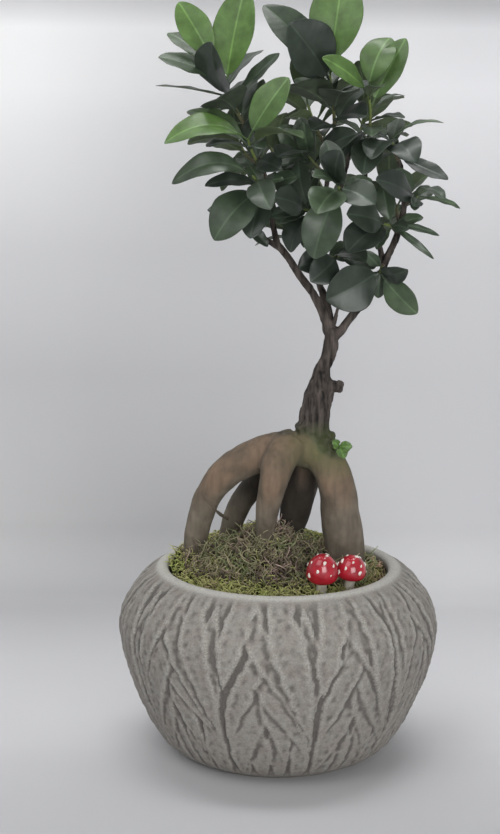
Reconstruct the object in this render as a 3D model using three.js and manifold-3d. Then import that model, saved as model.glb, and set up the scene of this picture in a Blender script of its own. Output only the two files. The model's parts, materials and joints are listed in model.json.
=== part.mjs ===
// A grafted fig grown as a bonsai, in a cast bowl with a raised pattern of leaves.
//
// Units are millimetres, +Z is up, and the origin is the middle of the bowl's flat underside. The front is at
// -Y. The fig stands on swollen roots that rise clear of the moss. Each leafy twig starts face to face with a
// short shoot of the tree, and two small toadstool ornaments stand in the moss at the front.

import * as THREE from 'three';
import { mergeVertices } from 'three/addons/utils/BufferGeometryUtils.js';
import Module from 'manifold-3d';

const wasm = await Module();
wasm.setup();

// ---------------------------------------------------------------- driving dimensions

const CLEARANCE = 0.3; // between a piece and the one that carries it
const SOCKET_CLEARANCE = 0.4; // round a root or a stem that stands in a hole

const POT_HEIGHT = 135;
const FOOT_RADIUS = 63;
const MOUTH_RADIUS = 77;
const FLOOR_THICKNESS = 10;
const POT_SEGMENTS = 90;
const CAVITY_SEGMENTS = 32;

const SOIL_LEVEL = 118; // flat top of the soil, where the moss lies
const SOIL_SEGMENTS = 32;
const MOSS_SEGMENTS = 32;
const MOSS_EDGE_RADIUS = 76.2; // where the moss meets the lip

const RELIEF_REPEATS = 9; // the leaf pattern repeats this often round the bowl
const RELIEF_DEPTH = 2.2;
const RELIEF_START = THREE.MathUtils.degToRad(6); // turns a fan's line to its place at the front

const SHOOT_LENGTH = 5; // the tree's short shoot that carries a leafy twig
const SHOOT_RADIUS = 1.6;
const TWIG_RADIUS = 1.4;
const TWIG_TIP_RADIUS = 0.8;
const LEAF_THICKNESS = 1.4; // at the midrib, thinning to the edge
const PETIOLE_SHARE = 0.14; // share of a leaf's length that is its stalk
const PETIOLE_RADIUS = 0.7;
const LEAF_FOLD = 0.22; // how far the edges rise, as a share of the half width
const SKYWARD = 0.3; // how far a leaf's face turns from its twig's direction to the sky
const WIDE_LEAF = 19; // a wider leaf has one station more
const FREE_SPACE = 4.6; // between the sample points of two leaves
const SWINGS = 60; // places that a grown leaf tries before it is given up

const STEM_RADIUS = 3.6; // of a toadstool
const STEM_FLARE = 0.6; // wider at its foot and narrower at its top by this

// ---------------------------------------------------------------- colours

const COLOURS = {
  concrete: { color: 0xa9a69e, roughness: 0.92 },
  soil: { color: 0x3a2c20, roughness: 1 },
  moss: { color: 0x68702f, roughness: 1 },
  bark: { color: 0x7a6a58, roughness: 0.85 },
  leaf: { color: 0x2f4a2e, roughness: 0.45 },
  youngLeaf: { color: 0x5c8a3a, roughness: 0.45 },
  redGloss: { color: 0xb3202e, roughness: 0.3 },
  whiteStem: { color: 0xd9d4c6, roughness: 0.7 },
};

const materials = Object.fromEntries(
  Object.entries(COLOURS).map(([name, look]) => [
    name,
    new THREE.MeshStandardMaterial({ ...look, metalness: 0 }),
  ]),
);

// ---------------------------------------------------------------- small helpers

const vec = (x, y, z) => new THREE.Vector3(x, y, z);
const toPoints = (route) => route.map(([x, y, z]) => vec(x, y, z));
const curveThrough = (points) => new THREE.CatmullRomCurve3(points, false, 'centripetal');
const smooth = THREE.MathUtils.smoothstep; // (x, min, max)
const around = (angle, radius, z) => vec(radius * Math.cos(angle), radius * Math.sin(angle), z);
const bump = (x, y, cx, cy, spread) => Math.exp(-((x - cx) ** 2 + (y - cy) ** 2) / (2 * spread ** 2));

/** Turns a closed geometry into a solid that can be joined and cut. */
function toSolid(geometry) {
  const bare = geometry.clone();
  bare.deleteAttribute('normal');
  bare.deleteAttribute('uv');
  const merged = mergeVertices(bare, 1e-4);
  return new wasm.Manifold(
    new wasm.Mesh({
      numProp: 3,
      vertProperties: new Float32Array(merged.attributes.position.array),
      triVerts: new Uint32Array(merged.index.array),
    }),
  );
}

/** Turns a solid back into a named mesh. */
function toMesh(name, solid, material) {
  const { vertProperties, triVerts } = solid.getMesh();
  const geometry = new THREE.BufferGeometry();
  geometry.setAttribute('position', new THREE.BufferAttribute(new Float32Array(vertProperties), 3));
  geometry.setIndex(new THREE.BufferAttribute(new Uint32Array(triVerts), 1));
  geometry.computeVertexNormals();
  const mesh = new THREE.Mesh(geometry, material);
  mesh.name = name;
  return mesh;
}

const joined = (solids) => solids.reduce((sum, next) => sum.add(next));

/** The largest closed body of a solid, without the scraps that a cut leaves. */
function largestBody(solid) {
  return solid.decompose().reduce((best, body) => (body.volume() > best.volume() ? body : best));
}

/** Closed skin over rings of equally many points. Quads are split alike on mirrored sides. */
function loft(rings) {
  const count = rings[0].length;
  const middle = (ring) => ring.reduce((sum, point) => sum.add(point), vec(0, 0, 0)).divideScalar(count);
  const points = [...rings.flat(), middle(rings[0]), middle(rings.at(-1))];
  const [first, last] = [points.length - 2, points.length - 1];
  const faces = [];
  for (let i = 0; i + 1 < rings.length; i += 1) {
    for (let j = 0; j < count; j += 1) {
      const [a, b] = [i * count + j, i * count + ((j + 1) % count)];
      const [c, d] = [a + count, b + count];
      faces.push(...(j % 2 ? [a, b, c, b, d, c] : [a, b, d, a, d, c]));
    }
  }
  const end = (rings.length - 1) * count;
  for (let j = 0; j < count; j += 1) {
    const k = (j + 1) % count;
    faces.push(first, k, j, last, end + j, end + k);
  }
  const geometry = new THREE.BufferGeometry().setFromPoints(points);
  geometry.setIndex(faces);
  return geometry;
}

/** Tapered limb along a route. `radii` are spread evenly along it, and `grow` widens and lengthens it. */
function limb(route, radii, { sides = 8, steps = 8, grow = 0, knots = 0 } = {}) {
  const curve = curveThrough(route);
  const { tangents, normals, binormals } = curve.computeFrenetFrames(steps, false);
  const rings = tangents.map((tangent, i) => {
    const place = (i / steps) * (radii.length - 1);
    const low = Math.min(Math.floor(place), radii.length - 2);
    const radius = THREE.MathUtils.lerp(radii[low], radii[low + 1], place - low);
    const shift = i === 0 ? -grow : i === steps ? grow : 0;
    const centre = curve.getPointAt(i / steps).addScaledVector(tangent, shift);
    return Array.from({ length: sides }, (_, j) => {
      const angle = (2 * Math.PI * j) / sides;
      const reach = radius * (1 + knots * Math.sin(3 * angle + 1.7 * i)) + grow;
      return centre
        .clone()
        .addScaledVector(normals[i], reach * Math.cos(angle))
        .addScaledVector(binormals[i], reach * Math.sin(angle));
    });
  });
  return toSolid(loft(rings));
}

// ---------------------------------------------------------------- the bowl

// Outside of the bowl from the foot to the lip, as [radius, height].
const POT_OUTSIDE = [
  [FOOT_RADIUS, 0], [74, 6], [85, 18], [97, 42], [106, 68], [110, 90], [108, 104], [102, 116], [94, 126],
  [88, 131.5],
];
const POT_LIP = [[84.5, 134.2], [81, POT_HEIGHT]];
const ABOVE_LIP = POT_HEIGHT + 1; // the hollow is cut from here down
const POT_INSIDE = [
  [60, FLOOR_THICKNESS], [84, 36], [98, 68], [99, 90], [88, 118], [MOUTH_RADIUS, 129], [MOUTH_RADIUS, 133],
  [78.5, ABOVE_LIP],
];
const OUTSIDE_ROWS = 12;
const RELIEF_FADE = { footFrom: 1, footTo: 12, lipFrom: 128, lipTo: 134 };

// The pattern's cast leaves hang in fans, each leaf over those before it. Each is [turn in degrees from the
// fan's line, height of the base, height of the tip, turn of the tip, half width in mm, how far it rises].
const RELIEF_LEAVES = [
  [20, 52, 2, 20, 10, 0],
  [8, 62, 2, 15, 10, 0.1],
  [0, 66, 4, 0, 9.5, 0.24],
  [4, 92, 22, 15.5, 10, 0.4],
  [0, 122, 52, 1, 9, 0.5],
  [13.5, 146, 44, 19, 11, 0.72],
  [4.5, 146, 56, 12.5, 11, 1],
];
const RELIEF_GROUND = 0.3; // share of the depth that lies between the leaves

/** Height of one cast leaf over a point, as a shallow dish. */
function castLeafHeight(angle, z, radius, [base, top, tip, lean, halfWidth, rise]) {
  const along = (top - z) / (top - tip);
  if (along <= 0 || along >= 1) return 0;
  const centre = THREE.MathUtils.degToRad(base + (lean - base) * along);
  const reach = halfWidth * Math.sin(Math.PI * along ** 0.85) ** 0.7;
  const across = Math.abs((angle - centre) * radius) / Math.max(reach, 0.1);
  const edge = 1 - smooth(across, 0.86, 1.06);
  return edge * (0.45 + 0.45 * rise + 0.1 * across ** 2);
}

/** How far the cast pattern stands out at a turn and height. Each fan is mirrored about its own line. */
function relief(angle, z, radius) {
  const period = (2 * Math.PI) / RELIEF_REPEATS;
  const offset = Math.abs(angle / period - Math.round(angle / period)) * period;
  const leaves = RELIEF_LEAVES.map((leaf) => castLeafHeight(offset, z, radius, leaf));
  const height = Math.max(RELIEF_GROUND, ...leaves);
  const { footFrom, footTo, lipFrom, lipTo } = RELIEF_FADE;
  return RELIEF_DEPTH * height * smooth(z, footFrom, footTo) * (1 - smooth(z, lipFrom, lipTo));
}

/** A lathe about +Z through [radius, height] points. */
function turned(points, segments) {
  const profile = points.map(([radius, z]) => new THREE.Vector2(radius, z));
  return new THREE.LatheGeometry(profile, segments).rotateX(Math.PI / 2);
}

function makePot() {
  const side = new THREE.SplineCurve(POT_OUTSIDE.map(([radius, z]) => new THREE.Vector2(radius, z)));
  const rows = side.getSpacedPoints(OUTSIDE_ROWS).map((point) => point.toArray());
  const outside = turned([[0, 0], ...rows, ...POT_LIP, [0, POT_HEIGHT]], POT_SEGMENTS);
  const place = outside.attributes.position;
  for (let i = 0; i < place.count; i += 1) {
    const [x, y, z] = [place.getX(i), place.getY(i), place.getZ(i)];
    const radius = Math.hypot(x, y);
    if (radius < FOOT_RADIUS - 1) continue;
    const out = 1 + relief(Math.atan2(x, -y) + RELIEF_START, z, radius) / radius;
    place.setXY(i, x * out, y * out);
  }
  const inside = turned([[0, FLOOR_THICKNESS], ...POT_INSIDE, [0, ABOVE_LIP]], CAVITY_SEGMENTS);
  return toSolid(outside).subtract(toSolid(inside));
}

// ---------------------------------------------------------------- soil and moss

// Just inside the bowl's wall, from the floor up.
const SOIL_SIDE = [[59.2, FLOOR_THICKNESS], [83.2, 36.2], [97.2, 68.2], [98.2, 89.8], [87.2, SOIL_LEVEL]];

function makeSoil() {
  const profile = [[0, FLOOR_THICKNESS], ...SOIL_SIDE, [0, SOIL_LEVEL]];
  return toSolid(turned(profile, SOIL_SEGMENTS));
}

const MOSS_LEVEL = 126;
// The mounds of the moss as [height, middle x, middle y, spread].
const MOSS_MOUNDS = [[22, -5, 40, 34], [9, 52, 14, 22], [5, -58, 20, 20], [20, -8, -4, 13]];
const MOSS_RINGS = [0.95, 0.82, 0.66, 0.48, 0.28, 0.1]; // shares of the edge radius
const MOSS_SKIRT = { height: 122.5, out: 1, footOut: 3 }; // where the mat turns under the lip

/** Height of the moss: mounds among the roots, lower at the front and on the right, with small cushions. */
function mossHeight(x, y) {
  const heights = MOSS_MOUNDS.map(([height, cx, cy, spread]) => height * bump(x, y, cx, cy, spread));
  const mounds = heights.reduce((sum, height) => sum + height);
  const tilt = 4 * smooth(-x, 0, 75) - 5.5 * smooth(x, 20, 75) + 4 * smooth(y, 0, 75);
  const broad = 1.1 * Math.sin(0.21 * x + 1.3) * Math.sin(0.19 * y);
  const small = 0.7 * Math.sin(0.43 * x - 0.37 * y);
  return MOSS_LEVEL + mounds + tilt + broad + small;
}

function makeMoss() {
  const ring = (radius, height) =>
    Array.from({ length: MOSS_SEGMENTS }, (_, j) => {
      const point = around((2 * Math.PI * j) / MOSS_SEGMENTS, radius, 0);
      return point.setZ(height(point.x, point.y));
    });
  const flat = ring(MOSS_EDGE_RADIUS + MOSS_SKIRT.footOut, () => SOIL_LEVEL);
  const skirt = ring(MOSS_EDGE_RADIUS + MOSS_SKIRT.out, () => MOSS_SKIRT.height);
  const edge = ring(MOSS_EDGE_RADIUS, (x, y) => Math.min(mossHeight(x, y) - 2, POT_HEIGHT - 1.5));
  const top = MOSS_RINGS.map((share) => ring(share * MOSS_EDGE_RADIUS, mossHeight));
  return toSolid(loft([flat, skirt, edge, ...top]));
}

// ---------------------------------------------------------------- wood

// Swollen roots, each a route from the crown down into the soil, with its radii.
const ROOTS = {
  left: {
    route: [
      [10, 8, 217], [-12, 4, 214], [-30, 2, 206], [-43, 4, 193], [-52, 9, 176], [-57, 13, 158],
      [-60, 16, 138], [-61, 17, 102],
    ],
    radii: [13, 12.4, 11.4, 10, 9, 8.4, 8, 8.4],
  },
  frontMiddle: {
    route: [
      [8, 2, 220], [0, -9, 212], [-4, -15, 200], [-7, -15, 184], [-9, -11, 166], [-10, -4, 143],
      [-11, 0, 104],
    ],
    radii: [13, 11.4, 9, 6.8, 5.8, 5.2, 5],
  },
  backLeft: {
    route: [[6, 16, 212], [-12, 26, 192], [-24, 32, 175], [-32, 34, 158], [-37, 35, 137], [-39, 36, 104]],
    radii: [8.5, 8.6, 8.4, 7.4, 6.4, 5],
  },
  backMiddle: {
    route: [[20, 16, 210], [18, 22, 192], [14, 26, 174], [10, 28, 156], [8, 28, 134], [8, 28, 104]],
    radii: [9, 12, 11.4, 8, 5, 4.4],
  },
  right: {
    route: [
      [27, 6, 217], [35, 0, 206], [40, -2, 190], [43, 0, 172], [46, 2, 152], [47, 3, 130], [47, 3, 102],
    ],
    radii: [13, 12.6, 13, 13.8, 13.6, 13, 12],
  },
};

const CROWN = { centre: [24, 7, 216], reach: [21, 15, 15] };

const TRUNK = {
  route: [
    [23, 8, 226], [24, 8, 236], [25.5, 8, 244], [27, 8, 251], [28, 8, 258], [28.5, 8, 266], [30, 7.5, 273],
    [33, 7, 279], [35, 7, 287], [35.5, 7, 294], [36, 8, 302],
  ],
  radii: [12, 10.8, 10.5, 10.5, 10.2, 7.8, 6, 4.9, 5.1, 5.5, 5],
};
const SAWN_STUB = { route: [[29, 7, 262], [37, 5, 262], [44, 3, 261]], radii: [5.4, 4.8, 4.4] };

const BRANCHES = {
  left: {
    route: [[35, 8, 297], [28, 7, 316], [21, 5, 329], [14, 3, 338], [3, -2, 355], [-2, -4, 361]],
    radii: [4.4, 3, 2.8, 2.4],
  },
  leftLow: {
    route: [[-1, -4, 359], [-10, -8, 365], [-17, -12, 370]],
    radii: [2.2, 1.7],
  },
  leftUp: {
    route: [[-2, -4, 360], [-6, -2, 377], [-9, 0, 395], [-13, 4, 413], [-19, 6, 425]],
    radii: [2.3, 1.9, 1.6],
  },
  middle: {
    route: [
      [36, 8, 299], [31, 14, 321], [27, 20, 333], [26, 26, 354], [29, 28, 378], [32, 24, 403],
      [35, 18, 424],
    ],
    radii: [4, 2.6, 2.3, 2, 1.7],
  },
  right: {
    route: [
      [37, 8, 294], [48, 9, 308], [55, 10, 317], [63, 10, 331], [69, 10, 340], [74, 8, 353], [79, 6, 365],
      [84, 4, 388], [81, 4, 415],
    ],
    radii: [3.8, 2.8, 2.6, 2.2, 1.7],
  },
  front: {
    route: [[26, 26, 352], [29, 6, 368], [34, -14, 384], [37, -28, 396]],
    radii: [2.2, 1.7],
  },
  back: {
    route: [[28, 27, 369], [38, 45, 383], [45, 55, 403], [49, 60, 421]],
    radii: [2.2, 1.6],
  },
  backLeft: {
    route: [[-8, -1, 386], [-1, 22, 396], [3, 40, 409]],
    radii: [2, 1.6],
  },
  upright: {
    route: [[71, 9, 345], [65, 15, 373], [59, 14, 397], [57, 12, 414]],
    radii: [2.2, 1.9, 1.6],
  },
};
const DRY_TWIG = { route: [[36, 7, 303], [38, 4, 310], [40, 3, 318]], radii: [2, 1.1] };
const AERIAL_ROOT = {
  route: [[-52, 2, 192], [-52, -4, 185], [-46, 0, 176], [-41, 14, 167], [-34, 34, 158]],
  radii: [1, 1],
};

const woodSolid = ({ route, radii }, shape) => limb(toPoints(route), radii, shape);
const rootSolid = (root, grow = 0) => woodSolid(root, { sides: 7, steps: 8, grow, knots: 0.04 });

/** Where a leafy twig starts, and the direction of the shoot that carries it. */
function shootOf(spray) {
  const [start, next] = toPoints(spray.twig.slice(0, 2));
  const way = next.clone().sub(start).normalize();
  const end = start.clone().addScaledVector(way, spray.shoot ?? SHOOT_LENGTH);
  return { start, way, end };
}

function makeTree(sprays) {
  const crown = new THREE.IcosahedronGeometry(1, 1).scale(...CROWN.reach).translate(...CROWN.centre);
  const roots = Object.values(ROOTS).map((root) => rootSolid(root));
  const branches = Object.values(BRANCHES).map((branch) =>
    woodSolid(branch, { sides: 5, steps: branch.route.length }),
  );
  const shoots = sprays.map((spray) => {
    const { start, end } = shootOf(spray);
    return limb([start, end], [SHOOT_RADIUS, SHOOT_RADIUS], { sides: 4, steps: 1 });
  });
  return joined([
    toSolid(crown),
    ...roots,
    woodSolid(TRUNK, { sides: 8, steps: 11, knots: 0.05 }),
    woodSolid(SAWN_STUB, { sides: 7, steps: 3 }),
    ...branches,
    ...shoots,
    woodSolid(DRY_TWIG, { sides: 5, steps: 3 }),
    woodSolid(AERIAL_ROOT, { sides: 5, steps: 5 }),
  ]);
}

// ---------------------------------------------------------------- leafy twigs

// Each spray has its twig's route, which starts on a branch, and the leaves that shape the outline. A leaf is
// [place along the twig, tip x, y and z, width, arch as a share of its length, turn]. A turn over 0 shows
// more of its upper face to the front, and one below 0 more of its underside. `grown` more leaves, each
// `length` long, then fill the twig where there is free space.
const SPRAYS = [
  {
    name: 'spray_top_left',
    twig: [[-19, 6, 425], [-25, 4, 441], [-34, 2, 457], [-41, 0, 472], [-45, 0, 481]],
    leaves: [
      [1, -70, 8, 523, 22, 0.06, 1.2], [0.7, -25, 8, 533, 30, 0.05, 1.4], [0.96, -78, 22, 502, 14, 0.08, 0.6],
      [0.84, -83, -8, 487, 20, 0.05, 0.8], [0.58, -47, -26, 498, 34, 0.08, 0.8],
      [0.38, -44, -37, 461, 34, 0.1, 0], [0.6, -85, -3, 468, 8, 0.04, 0],
      [0.52, -2, -4, 490, 15, 0.02, 0.6],
    ],
    grown: 4, length: 46,
  },
  {
    name: 'spray_left_arch',
    twig: [[-10, 2, 405], [-16, -14, 417], [-21, -22, 428], [-23, -25, 435]],
    leaves: [
      [0.95, -78, -36, 432, 25, 0.24, 0.5], [0.78, -64, -2, 451, 18, 0.12, 0],
      [0.97, 4, -26, 475, 24, 0.05, 1.2], [0.77, -50, -47, 431, 18, 0.1, 0],
      [0.86, 13, -50, 437, 30, 0.14, -0.7], [0.5, -1, -37, 415, 18, 0.1, 0.6],
    ],
    grown: 2, length: 40,
  },
  {
    name: 'spray_left_long',
    twig: [[-9, 0, 391], [-12, -16, 400], [-16, -26, 406], [-20, -32, 411]],
    leaves: [
      [0.89, -73, -39, 406, 19, 0.33, 0.3], [0.5, -51, -45, 405, 14, 0.12, 0],
      [0.39, -45, -36, 368, 30, 0.16, 0.3], [0.19, -21, -41, 370, 22, 0.12, 0],
      [0.82, -8, -66, 392, 20, 0.12, 0],
    ],
    grown: 3, length: 40,
  },
  {
    name: 'spray_left_low',
    twig: [[-17, -12, 370], [-25, -16, 376], [-32, -18, 383]],
    leaves: [[0.4, -9, -20, 362, 9, 0.1, 0]],
    grown: 5, length: 22,
  },
  {
    name: 'spray_top_centre',
    twig: [[35, 18, 424], [36, 14, 442], [34, 8, 461], [32, 4, 476]],
    leaves: [
      [0.92, -13, 12, 521, 28, 0.1, 0.9], [0.87, 4, -14, 510, 39, 0.06, 1.6],
      [1, 41, 14, 542, 37, 0.05, 0.6], [0.5, 4, -24, 470, 34, 0.08, -0.8],
      [0.45, 40, -32, 466, 28, 0.1, -0.8],
      [0.3, 56, -20, 449, 24, 0.1, 0.8], [0.2, 20, -24, 440, 20, 0.1, 0.6],
    ],
    grown: 5, length: 46,
  },
  {
    name: 'spray_top_right',
    twig: [[57, 12, 414], [59, 8, 432], [60, 4, 451], [58, 2, 464]],
    leaves: [
      [0.76, 83, 4, 500, 21, 0.04, 1.4], [0.62, 84, 20, 461, 5, 0.2, 0], [0.57, 82, -12, 448, 12, 0.08, 0],
      [1, 26, -20, 488, 16, 0.06, 1.6], [1, 73, 15, 500, 24, 0.22, 0.9], [0.43, 36, -13, 416, 14, 0.12, 0], [0.35, 54, -24, 411, 22, 0.1, 0.7],
    ],
    grown: 4, length: 42,
  },
  {
    name: 'spray_right',
    twig: [[81, 4, 415], [77, 0, 424], [74, -4, 433]],
    leaves: [
      [0.59, 88, -34, 420, 24, 0.2, 0], [0.83, 59, -33, 422, 22, 0.16, 0], [1, 108, -14, 445, 5, 0.16, 0],
      [0.58, 99, 8, 412, 13, 0.1, 0], [0.12, 112, -12, 407, 14, 0.02, 0.3],
    ],
    grown: 3, length: 30,
  },
  {
    name: 'spray_right_arch',
    twig: [[84, 4, 388], [88, -4, 392], [92, -10, 395]],
    leaves: [
      [0.74, 108, -32, 395, 14, 0.24, 0], [0.87, 122, 2, 386, 5, 0.1, 0],
      [0.64, 62, -36, 409, 22, 0.1, 0.4],
    ],
    grown: 2, length: 34,
  },
  {
    name: 'spray_right_mid',
    twig: [[80, 6, 369], [74, -6, 375], [68, -14, 377]],
    leaves: [
      [0.5, 107, -12, 369, 5, 0.16, 0], [0.46, 103, -19, 354, 5, 0.2, 0],
      [0.9, 43, -36, 386, 24, 0.1, 0.3], [0.7, 44, -34, 360, 28, 0.12, 0.3],
    ],
    grown: 2, length: 34,
  },
  {
    name: 'spray_right_low',
    twig: [[71, 9, 348], [69, 0, 345], [68, -4, 342]],
    leaves: [
      [0.79, 85, -28, 348, 16, 0.14, 0], [1, 93, -14, 316, 20, 0.06, 0.6],
      [0.6, 31, -14, 325, 33, 0.1, 0.5],
    ],
    grown: 1, length: 34,
  },
  {
    name: 'spray_front_centre',
    twig: [[37, -28, 396], [38, -38, 401], [37, -46, 406]],
    leaves: [
      [0.6, 21, -50, 358, 27, 0.14, 0.4], [0.52, 22, -72, 390, 26, 0.12, 0],
      [0.86, 19, -70, 414, 14, 0.1, 0], [0.68, 60, -62, 395, 24, 0.12, 0], [1, 37, -68, 431, 24, 0.1, 0],
    ],
    grown: 3, length: 38,
  },
  {
    name: 'spray_front_left',
    twig: [[32, -8, 380], [22, -20, 385], [14, -30, 389]],
    leaves: [[0.9, -6, -46, 398, 22, 0.1, 0.3], [0.6, 6, -34, 360, 22, 0.12, 0]],
    grown: 4, length: 38,
  },
  {
    name: 'spray_middle_low',
    twig: [[26, 24, 346], [33, 12, 350], [40, 2, 353]],
    leaves: [
      [0.9, 20, -18, 338, 22, 0.12, 0.3], [0.7, 57, -22, 352, 20, 0.12, 0.3], [0.5, 12, 0, 345, 18, 0.1, 0],
    ],
    grown: 2, length: 36,
  },
  {
    name: 'spray_centre',
    twig: [[32, 24, 404], [24, 8, 414], [18, -6, 422]],
    leaves: [[1, -3, -41, 424, 22, 0.1, 0], [0.6, 50, -22, 438, 22, 0.1, 0]],
    grown: 4, length: 42,
  },
  {
    name: 'spray_back_left',
    twig: [[3, 40, 409], [-5, 50, 419], [-12, 58, 431]],
    leaves: [],
    grown: 7, length: 40,
  },
  {
    name: 'spray_back_centre',
    twig: [[38, 45, 383], [32, 60, 390], [26, 72, 400]],
    leaves: [],
    grown: 6, length: 44,
  },
  {
    name: 'spray_back_right',
    twig: [[49, 60, 421], [56, 67, 432], [59, 72, 444]],
    leaves: [],
    grown: 7, length: 41,
  },
  {
    name: 'spray_back_top',
    twig: [[34, 20, 420], [24, 36, 438], [18, 46, 454]],
    leaves: [],
    grown: 7, length: 48,
  },
  {
    name: 'spray_inner',
    twig: [[26, 26, 356], [13, 30, 362], [2, 34, 370]],
    leaves: [],
    grown: 6, length: 38,
  },
  {
    name: 'spray_right_back',
    twig: [[81, 5, 374], [80, 20, 383], [77, 32, 393]],
    leaves: [],
    grown: 6, length: 36,
  },
  {
    name: 'spray_left_back',
    twig: [[-13, 4, 412], [-24, 19, 420], [-31, 32, 431]],
    leaves: [],
    grown: 6, length: 36,
  },
];

const SPROUT = {
  name: 'sprout',
  twig: [[34, -1, 219], [39, -11, 222], [41, -17, 223]],
  shoot: 10,
  leaves: [[0.6, 50, -19, 224, 8, 0.1, 0.6], [1, 44, -26, 217, 8, 0.1, 0.6], [0.85, 36, -24, 229, 7, 0.1, 0.6]],
};

/** Half width of a leaf, as a share of its widest, at a share of the blade from its stalk to its tip. */
const bladeShape = (share) => Math.sin(Math.PI * Math.min(Math.max(share, 0), 1) ** 1.05) ** 0.6;

/** A leaf's own frame: along it, across it and out of its upper face. */
function leafFrame(leaf) {
  const along = leaf.tip.clone().sub(leaf.base);
  const length = along.length();
  along.divideScalar(length);
  const face = leaf.up.clone().addScaledVector(along, -leaf.up.dot(along)).normalize();
  const across = along.clone().cross(face);
  return { length, along, face, across };
}

/** A point of a leaf: `u` is from base to tip, `v` from edge to edge, and `lift` out of the upper face. */
function leafPoint(leaf, frame, u, v, lift = 0) {
  const halfWidth = (leaf.width / 2) * bladeShape((u - PETIOLE_SHARE) / (1 - PETIOLE_SHARE));
  const rise = leaf.arch * frame.length * 4 * u * (1 - u) + LEAF_FOLD * halfWidth * Math.abs(v);
  return leaf.base
    .clone()
    .addScaledVector(frame.along, frame.length * u)
    .addScaledVector(frame.across, halfWidth * v)
    .addScaledVector(frame.face, rise + lift);
}

// Where along a leaf its blade has a ring of points.
const BROAD_STATIONS = [0.2, 0.52, 0.83].map((share) => PETIOLE_SHARE + (1 - PETIOLE_SHARE) * share);
const SLIM_STATIONS = [0.28, 0.74].map((share) => PETIOLE_SHARE + (1 - PETIOLE_SHARE) * share);

/** A leaf as a closed body: a stalk sunk in the twig, then a folded blade that thins to its edges. */
function leafSolid(leaf) {
  const frame = leafFrame(leaf);
  const stalk = (u) => {
    const centre = leafPoint(leaf, frame, u, 0);
    const side = (across, face) =>
      centre
        .clone()
        .addScaledVector(frame.across, across * PETIOLE_RADIUS)
        .addScaledVector(frame.face, face * PETIOLE_RADIUS);
    return [side(-1, 0), side(0, 1), side(1, 0), side(0, -1)];
  };
  const blade = (u) => {
    const point = (v, lift) => leafPoint(leaf, frame, u, v, lift);
    return [point(-1), point(0, LEAF_THICKNESS / 2), point(1), point(0, -LEAF_THICKNESS / 2)];
  };
  const tip = Array.from({ length: 4 }, () => leafPoint(leaf, frame, 1, 0));
  const stations = leaf.width > WIDE_LEAF ? BROAD_STATIONS : SLIM_STATIONS;
  return toSolid(loft([stalk(0), stalk(PETIOLE_SHARE), ...stations.map(blade), tip]));
}

const SAMPLE_U = [0.26, 0.38, 0.5, 0.62, 0.74, 0.86, 1];
const SAMPLE_V = [-0.9, -0.45, 0, 0.45, 0.9];

/** Points spread over a leaf, to keep other leaves off it. */
function leafSamples(leaf) {
  const frame = leafFrame(leaf);
  return SAMPLE_U.flatMap((u) => SAMPLE_V.map((v) => leafPoint(leaf, frame, u, v)));
}

/** True where every point lies clear of everything placed so far. */
function isClear(samples, taken) {
  return taken.every(({ point, radius }) => {
    const least = (FREE_SPACE + radius) ** 2;
    return samples.every((sample) => sample.distanceToSquared(point) > least);
  });
}

/** The twig of a spray as a curve that starts just past the tree's shoot. */
function twigCurve(spray) {
  const { way, end } = shootOf(spray);
  return curveThrough([end.addScaledVector(way, CLEARANCE), ...toPoints(spray.twig.slice(1))]);
}

/** A leaf on a twig. Its upper face looks to the twig's tip and the sky, and to the front by its turn. */
function leafOn(curve, place, tip, width, arch, turn = 0) {
  const up = curve.getTangentAt(place).add(vec(0, -turn, SKYWARD)).normalize();
  return { base: curve.getPointAt(place), tip, width, arch, up };
}

// How a twig grows leaves by rule: over this share of it from its tip, a golden angle apart, opening from it
// by these degrees, each leaf and each try a little shorter, and as wide as this share of its length.
const GROWTH = {
  leafyShare: 0.86,
  turn: THREE.MathUtils.degToRad(137.5),
  swing: 2.1,
  open: 38,
  openByLeaf: 9,
  openByTry: 14,
  shorterByLeaf: 0.07,
  shorterByTry: 0.008,
  width: 0.48,
  arch: 0.1,
};

/** The leaf with this number that a twig grows by rule, where `swing` counts the tries so far. */
function grownLeaf(spray, curve, index, swing) {
  const place = 1 - (GROWTH.leafyShare * (index + 0.5)) / spray.grown;
  const way = curve.getTangentAt(place);
  const side = vec(0, 0, 1).addScaledVector(way, -way.z).normalize();
  const other = way.clone().cross(side);
  const angle = index * GROWTH.turn + swing * GROWTH.swing;
  const degrees = GROWTH.open + GROWTH.openByLeaf * (index % 4) + GROWTH.openByTry * (swing % 3);
  const open = THREE.MathUtils.degToRad(degrees);
  const length = spray.length * (1 - GROWTH.shorterByLeaf * (index % 3) - GROWTH.shorterByTry * swing);
  const tip = curve
    .getPointAt(place)
    .addScaledVector(way, length * Math.cos(open))
    .addScaledVector(side, length * Math.sin(open) * Math.cos(angle))
    .addScaledVector(other, length * Math.sin(open) * Math.sin(angle));
  return leafOn(curve, place, tip, length * GROWTH.width, GROWTH.arch);
}

const WOOD_SPACING = 4; // between the points of a branch that leaves keep clear of
const TWIG_POINTS = 8;

/** Points down the middle of the wood, each with its radius less the space that a leaf keeps already. */
function woodPoints() {
  return [...Object.values(BRANCHES), TRUNK].flatMap(({ route, radii }) => {
    const curve = curveThrough(toPoints(route));
    const spots = curve.getSpacedPoints(Math.round(curve.getLength() / WOOD_SPACING));
    return spots.map((point) => ({ point, radius: radii.at(-1) - 2 }));
  });
}

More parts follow.
